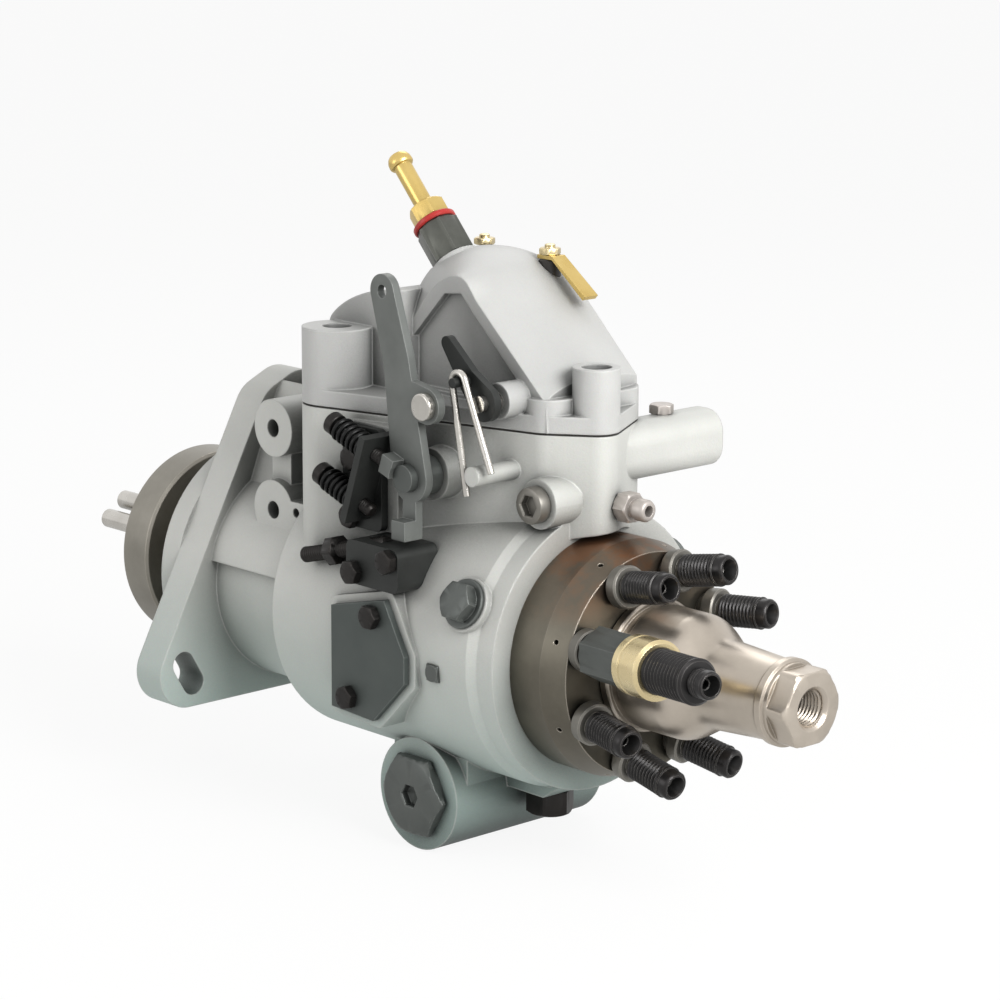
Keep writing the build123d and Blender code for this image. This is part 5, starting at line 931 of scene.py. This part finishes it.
terminal = {
    "xs": (101.0, 136.0), "y": 18.0, "foot": 121.0, "sleeve": 4.0, "sleeveTop": 134.2, "stud": 2.0,
    "studSunk": 2, "top": 139.5, "nut": 7.0, "nutFoot": 135.65, "nutHeight": 2.5, "threadDepth": 0.3,
    "threadPitch": 0.7, "turnSteps": 5,
}
sleeveFoot, sleeveTop, sleeve = terminal["foot"], terminal["sleeveTop"], terminal["sleeve"]
stud, studFoot, studTop = terminal["stud"], terminal["foot"] - terminal["studSunk"], terminal["top"]
studHole = stud + fitGap
nutShape, nutFoot = flats(terminal["nut"]), terminal["nutFoot"]
nutTop = nutFoot + terminal["nutHeight"]
studRings = [
    (studFoot, 0), (studFoot, stud), (nutFoot, stud), (nutFoot, capped(nutShape, terminal["nut"] * 0.5)),
    (nutFoot + 0.3, nutShape), (nutTop - 0.3, nutShape),
    (nutTop, capped(nutShape, terminal["nut"] * cornerCut)), (nutTop, stud),
]
studRings += threadRings(nutTop + 0.1, studTop - 0.3, stud, terminal["threadDepth"],
                         terminal["threadPitch"], terminal["turnSteps"])
studRings += [(studTop, stud - 0.5), (studTop, 0)]
sleeveRings = [
    (sleeveFoot, studHole), (sleeveFoot, sleeve), (sleeveTop - 0.6, sleeve), (sleeveTop, sleeve - 0.6),
    (sleeveTop, studHole), (sleeveFoot, studHole),
]
studMeshes = []
sleeveMeshes = []
for x in terminal["xs"]:
    place = seat((x, terminal["y"], 0), (0, 0, 1))
    studMeshes.append(ringMesh("stud", [(studRings, "paleBrass")], place))
    sleeveMeshes.append(ringMesh("sleeve", [(sleeveRings, "insulator")], place, around=40))
asObject("terminalStuds", studMeshes, ["terminal_studs"])
asObject("terminalSleeves", sleeveMeshes, ["terminal_insulators"])

# hairpin spring of the small lever

print("hairpin spring")


def wireTree(name):
    # Geometry Nodes: round wire along the edges of a path
    tree = bpy.data.node_groups.new(name, "GeometryNodeTree")
    tree.interface.new_socket("Geometry", in_out="INPUT", socket_type="NodeSocketGeometry")
    inputs = sizeInputs(tree, (("Wire Radius", 0.001),))
    given = addNode(tree, "NodeGroupInput").outputs
    path = addNode(tree, "GeometryNodeMeshToCurve", links={"Mesh": given["Geometry"]})
    sweptWire(tree, given, path, resolution=20)
    return tree, inputs


pathTree, pathInputs = wireTree("pathWire")


def wireMesh(points, radius, finishName):
    path = bpy.data.meshes.new("wirePath")
    path.from_pydata([Vector(p) * mm for p in points], [(k, k + 1) for k in range(len(points) - 1)], [])
    values = {"Wire Radius": radius * mm, "Finish": finishes[finishName]}
    return treeResult(pathTree, pathInputs, path, values)


hairpin = {
    "y": -41.0, "wire": 1.3, "feet": ((156.5, 58.0), (169.0, 68.0)), "pin": (152.0, 98.0), "loop": 3.4,
    "legSteps": 12, "loopSteps": 24,
}


def loopTouch(foot, side):
    # where a leg from its foot meets the loop round the pin
    toPin = Vector(hairpin["pin"]) - Vector(foot)
    reach = toPin.length
    run = sqrt(reach ** 2 - hairpin["loop"] ** 2)
    unit = toPin / reach
    across = Vector((-unit.y, unit.x)) * (side * run * hairpin["loop"] / reach)
    return Vector(foot) + unit * (run * run / reach) + across


touches = [loopTouch(hairpin["feet"][0], 1), loopTouch(hairpin["feet"][1], -1)]
pinCentre = Vector(hairpin["pin"])
startTurn = (touches[0] - pinCentre).angle_signed(Vector((1, 0)))
endTurn = (touches[1] - pinCentre).angle_signed(Vector((1, 0)))
if startTurn < endTurn:
    startTurn += tau
legSteps, loopSteps = hairpin["legSteps"], hairpin["loopSteps"]
flatPath = [Vector(hairpin["feet"][0]).lerp(touches[0], number / legSteps) for number in range(legSteps)]
for number in range(loopSteps + 1):
    turn = startTurn + (endTurn - startTurn) * number / loopSteps
    flatPath.append(pinCentre + Vector((cos(turn), sin(turn))) * hairpin["loop"])
for number in range(1, legSteps + 1):
    flatPath.append(touches[1].lerp(Vector(hairpin["feet"][1]), number / legSteps))
hairpinPath = [(p.x, hairpin["y"], p.y) for p in flatPath]
hairpinMesh = wireMesh(hairpinPath, hairpin["wire"], "bright")
hairpinPiece = asObject("hairpinSpring", hairpinMesh, ["hairpin_spring"], body=None)
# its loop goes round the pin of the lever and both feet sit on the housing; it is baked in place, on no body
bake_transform(hairpinPiece)

# floor, light and camera

print("stage")
setting = {
    "target": (0.1294, 0.0, 0.0461), "azimuth": 47.11, "elevation": 12.55, "roll": 0.26, "distance": 1.2,
    "focal": 3282.0, "picture": 1000,  # both in pixels
    "sensor": 36.0, "floorSize": 60.0, "floorGap": 0.0005, "floorTone": "#c9c9c7",
}
floorMesh = bpy.data.meshes.new("floorSheet")
half = setting["floorSize"] / 2
floorZ = cadBox[0].z - setting["floorGap"]
corners = [(x, y, floorZ) for x, y in ((-half, -half), (half, -half), (half, half), (-half, half))]
floorMesh.from_pydata(corners, [], [(0, 1, 2, 3)])
floor = bpy.data.objects.new("studioFloor", floorMesh)
scene.collection.objects.link(floor)

paper, tree, shader, output = newMaterial("studioPaper")
shader.inputs["Base Color"].default_value = tone(setting["floorTone"])
shader.inputs["Roughness"].default_value = 0.9
glow = addNode(tree, "ShaderNodeEmission", Strength=1.1)
# bright to the eye, dimmer as a reflection, so that round metal keeps a dark lower edge
looks = addNode(tree, "ShaderNodeLightPath")
share = addNode(tree, "ShaderNodeMapRange", links={"Value": looks.outputs["Is Camera Ray"]},
                **{"To Min": 0.4, "To Max": 0.82})
shade = addNode(tree, "ShaderNodeMixShader",
                links={0: share.outputs["Result"], 1: shader.outputs[0], 2: glow.outputs[0]})
tree.links.new(shade.outputs[0], output.inputs["Surface"])
floorMesh.materials.append(paper)

world = bpy.data.worlds.new("studioWorld")
scene.world = world
world.use_nodes = True
tree = world.node_tree
tree.nodes.clear()
rays = addNode(tree, "ShaderNodeLightPath")
direct = addNode(tree, "ShaderNodeMath", {"operation": "MAXIMUM"},
                 {0: rays.outputs["Is Camera Ray"], 1: rays.outputs["Is Transmission Ray"]})
seen = addNode(tree, "ShaderNodeMath", {"operation": "MAXIMUM"},
               {0: direct.outputs[0], 1: rays.outputs["Is Glossy Ray"]})
dim = addNode(tree, "ShaderNodeBackground", Color=(1, 1, 1, 1), Strength=0.35)
full = addNode(tree, "ShaderNodeBackground", Color=(1, 1, 1, 1), Strength=1.0)
both = addNode(tree, "ShaderNodeMixShader", links={0: seen.outputs[0], 1: dim.outputs[0], 2: full.outputs[0]})
addNode(tree, "ShaderNodeOutputWorld", links={"Surface": both.outputs[0]})


def softBox(name, place, size, power):
    lamp = bpy.data.lights.new(name, "AREA")
    lamp.shape = "DISK"
    lamp.size = size
    lamp.energy = power
    lampObject = bpy.data.objects.new(name, lamp)
    lampObject.location = place
    aim = Vector(setting["target"]) - Vector(place)
    lampObject.rotation_mode = "QUATERNION"
    lampObject.rotation_quaternion = aim.to_track_quat("-Z", "Y")
    scene.collection.objects.link(lampObject)


softBox("keyLamp", (1.35, -0.1, 0.7), size=0.8, power=19)
softBox("rimLamp", (-0.5, 0.7, 0.9), size=0.6, power=2)
softBox("fillLamp", (-0.3, -1.3, 0.4), size=0.7, power=2.5)

camera = bpy.data.cameras.new("studioCamera")
camera.sensor_width = setting["sensor"]
camera.lens = setting["focal"] / setting["picture"] * setting["sensor"]
camera.clip_start = 0.05
cameraObject = bpy.data.objects.new("studioCamera", camera)
azimuth, elevation = radians(setting["azimuth"]), radians(setting["elevation"])
back = Vector((sin(azimuth) * cos(elevation), -cos(azimuth) * cos(elevation), sin(elevation)))
cameraObject.location = Vector(setting["target"]) + back * setting["distance"]
cameraObject.rotation_mode = "QUATERNION"
rolled = Quaternion((0, 0, 1), radians(setting["roll"]))
cameraObject.rotation_quaternion = (-back).to_track_quat("-Z", "Y") @ rolled
scene.collection.objects.link(cameraObject)
scene.camera = cameraObject
scene.view_settings.view_transform = "Standard"

print("scene ready")
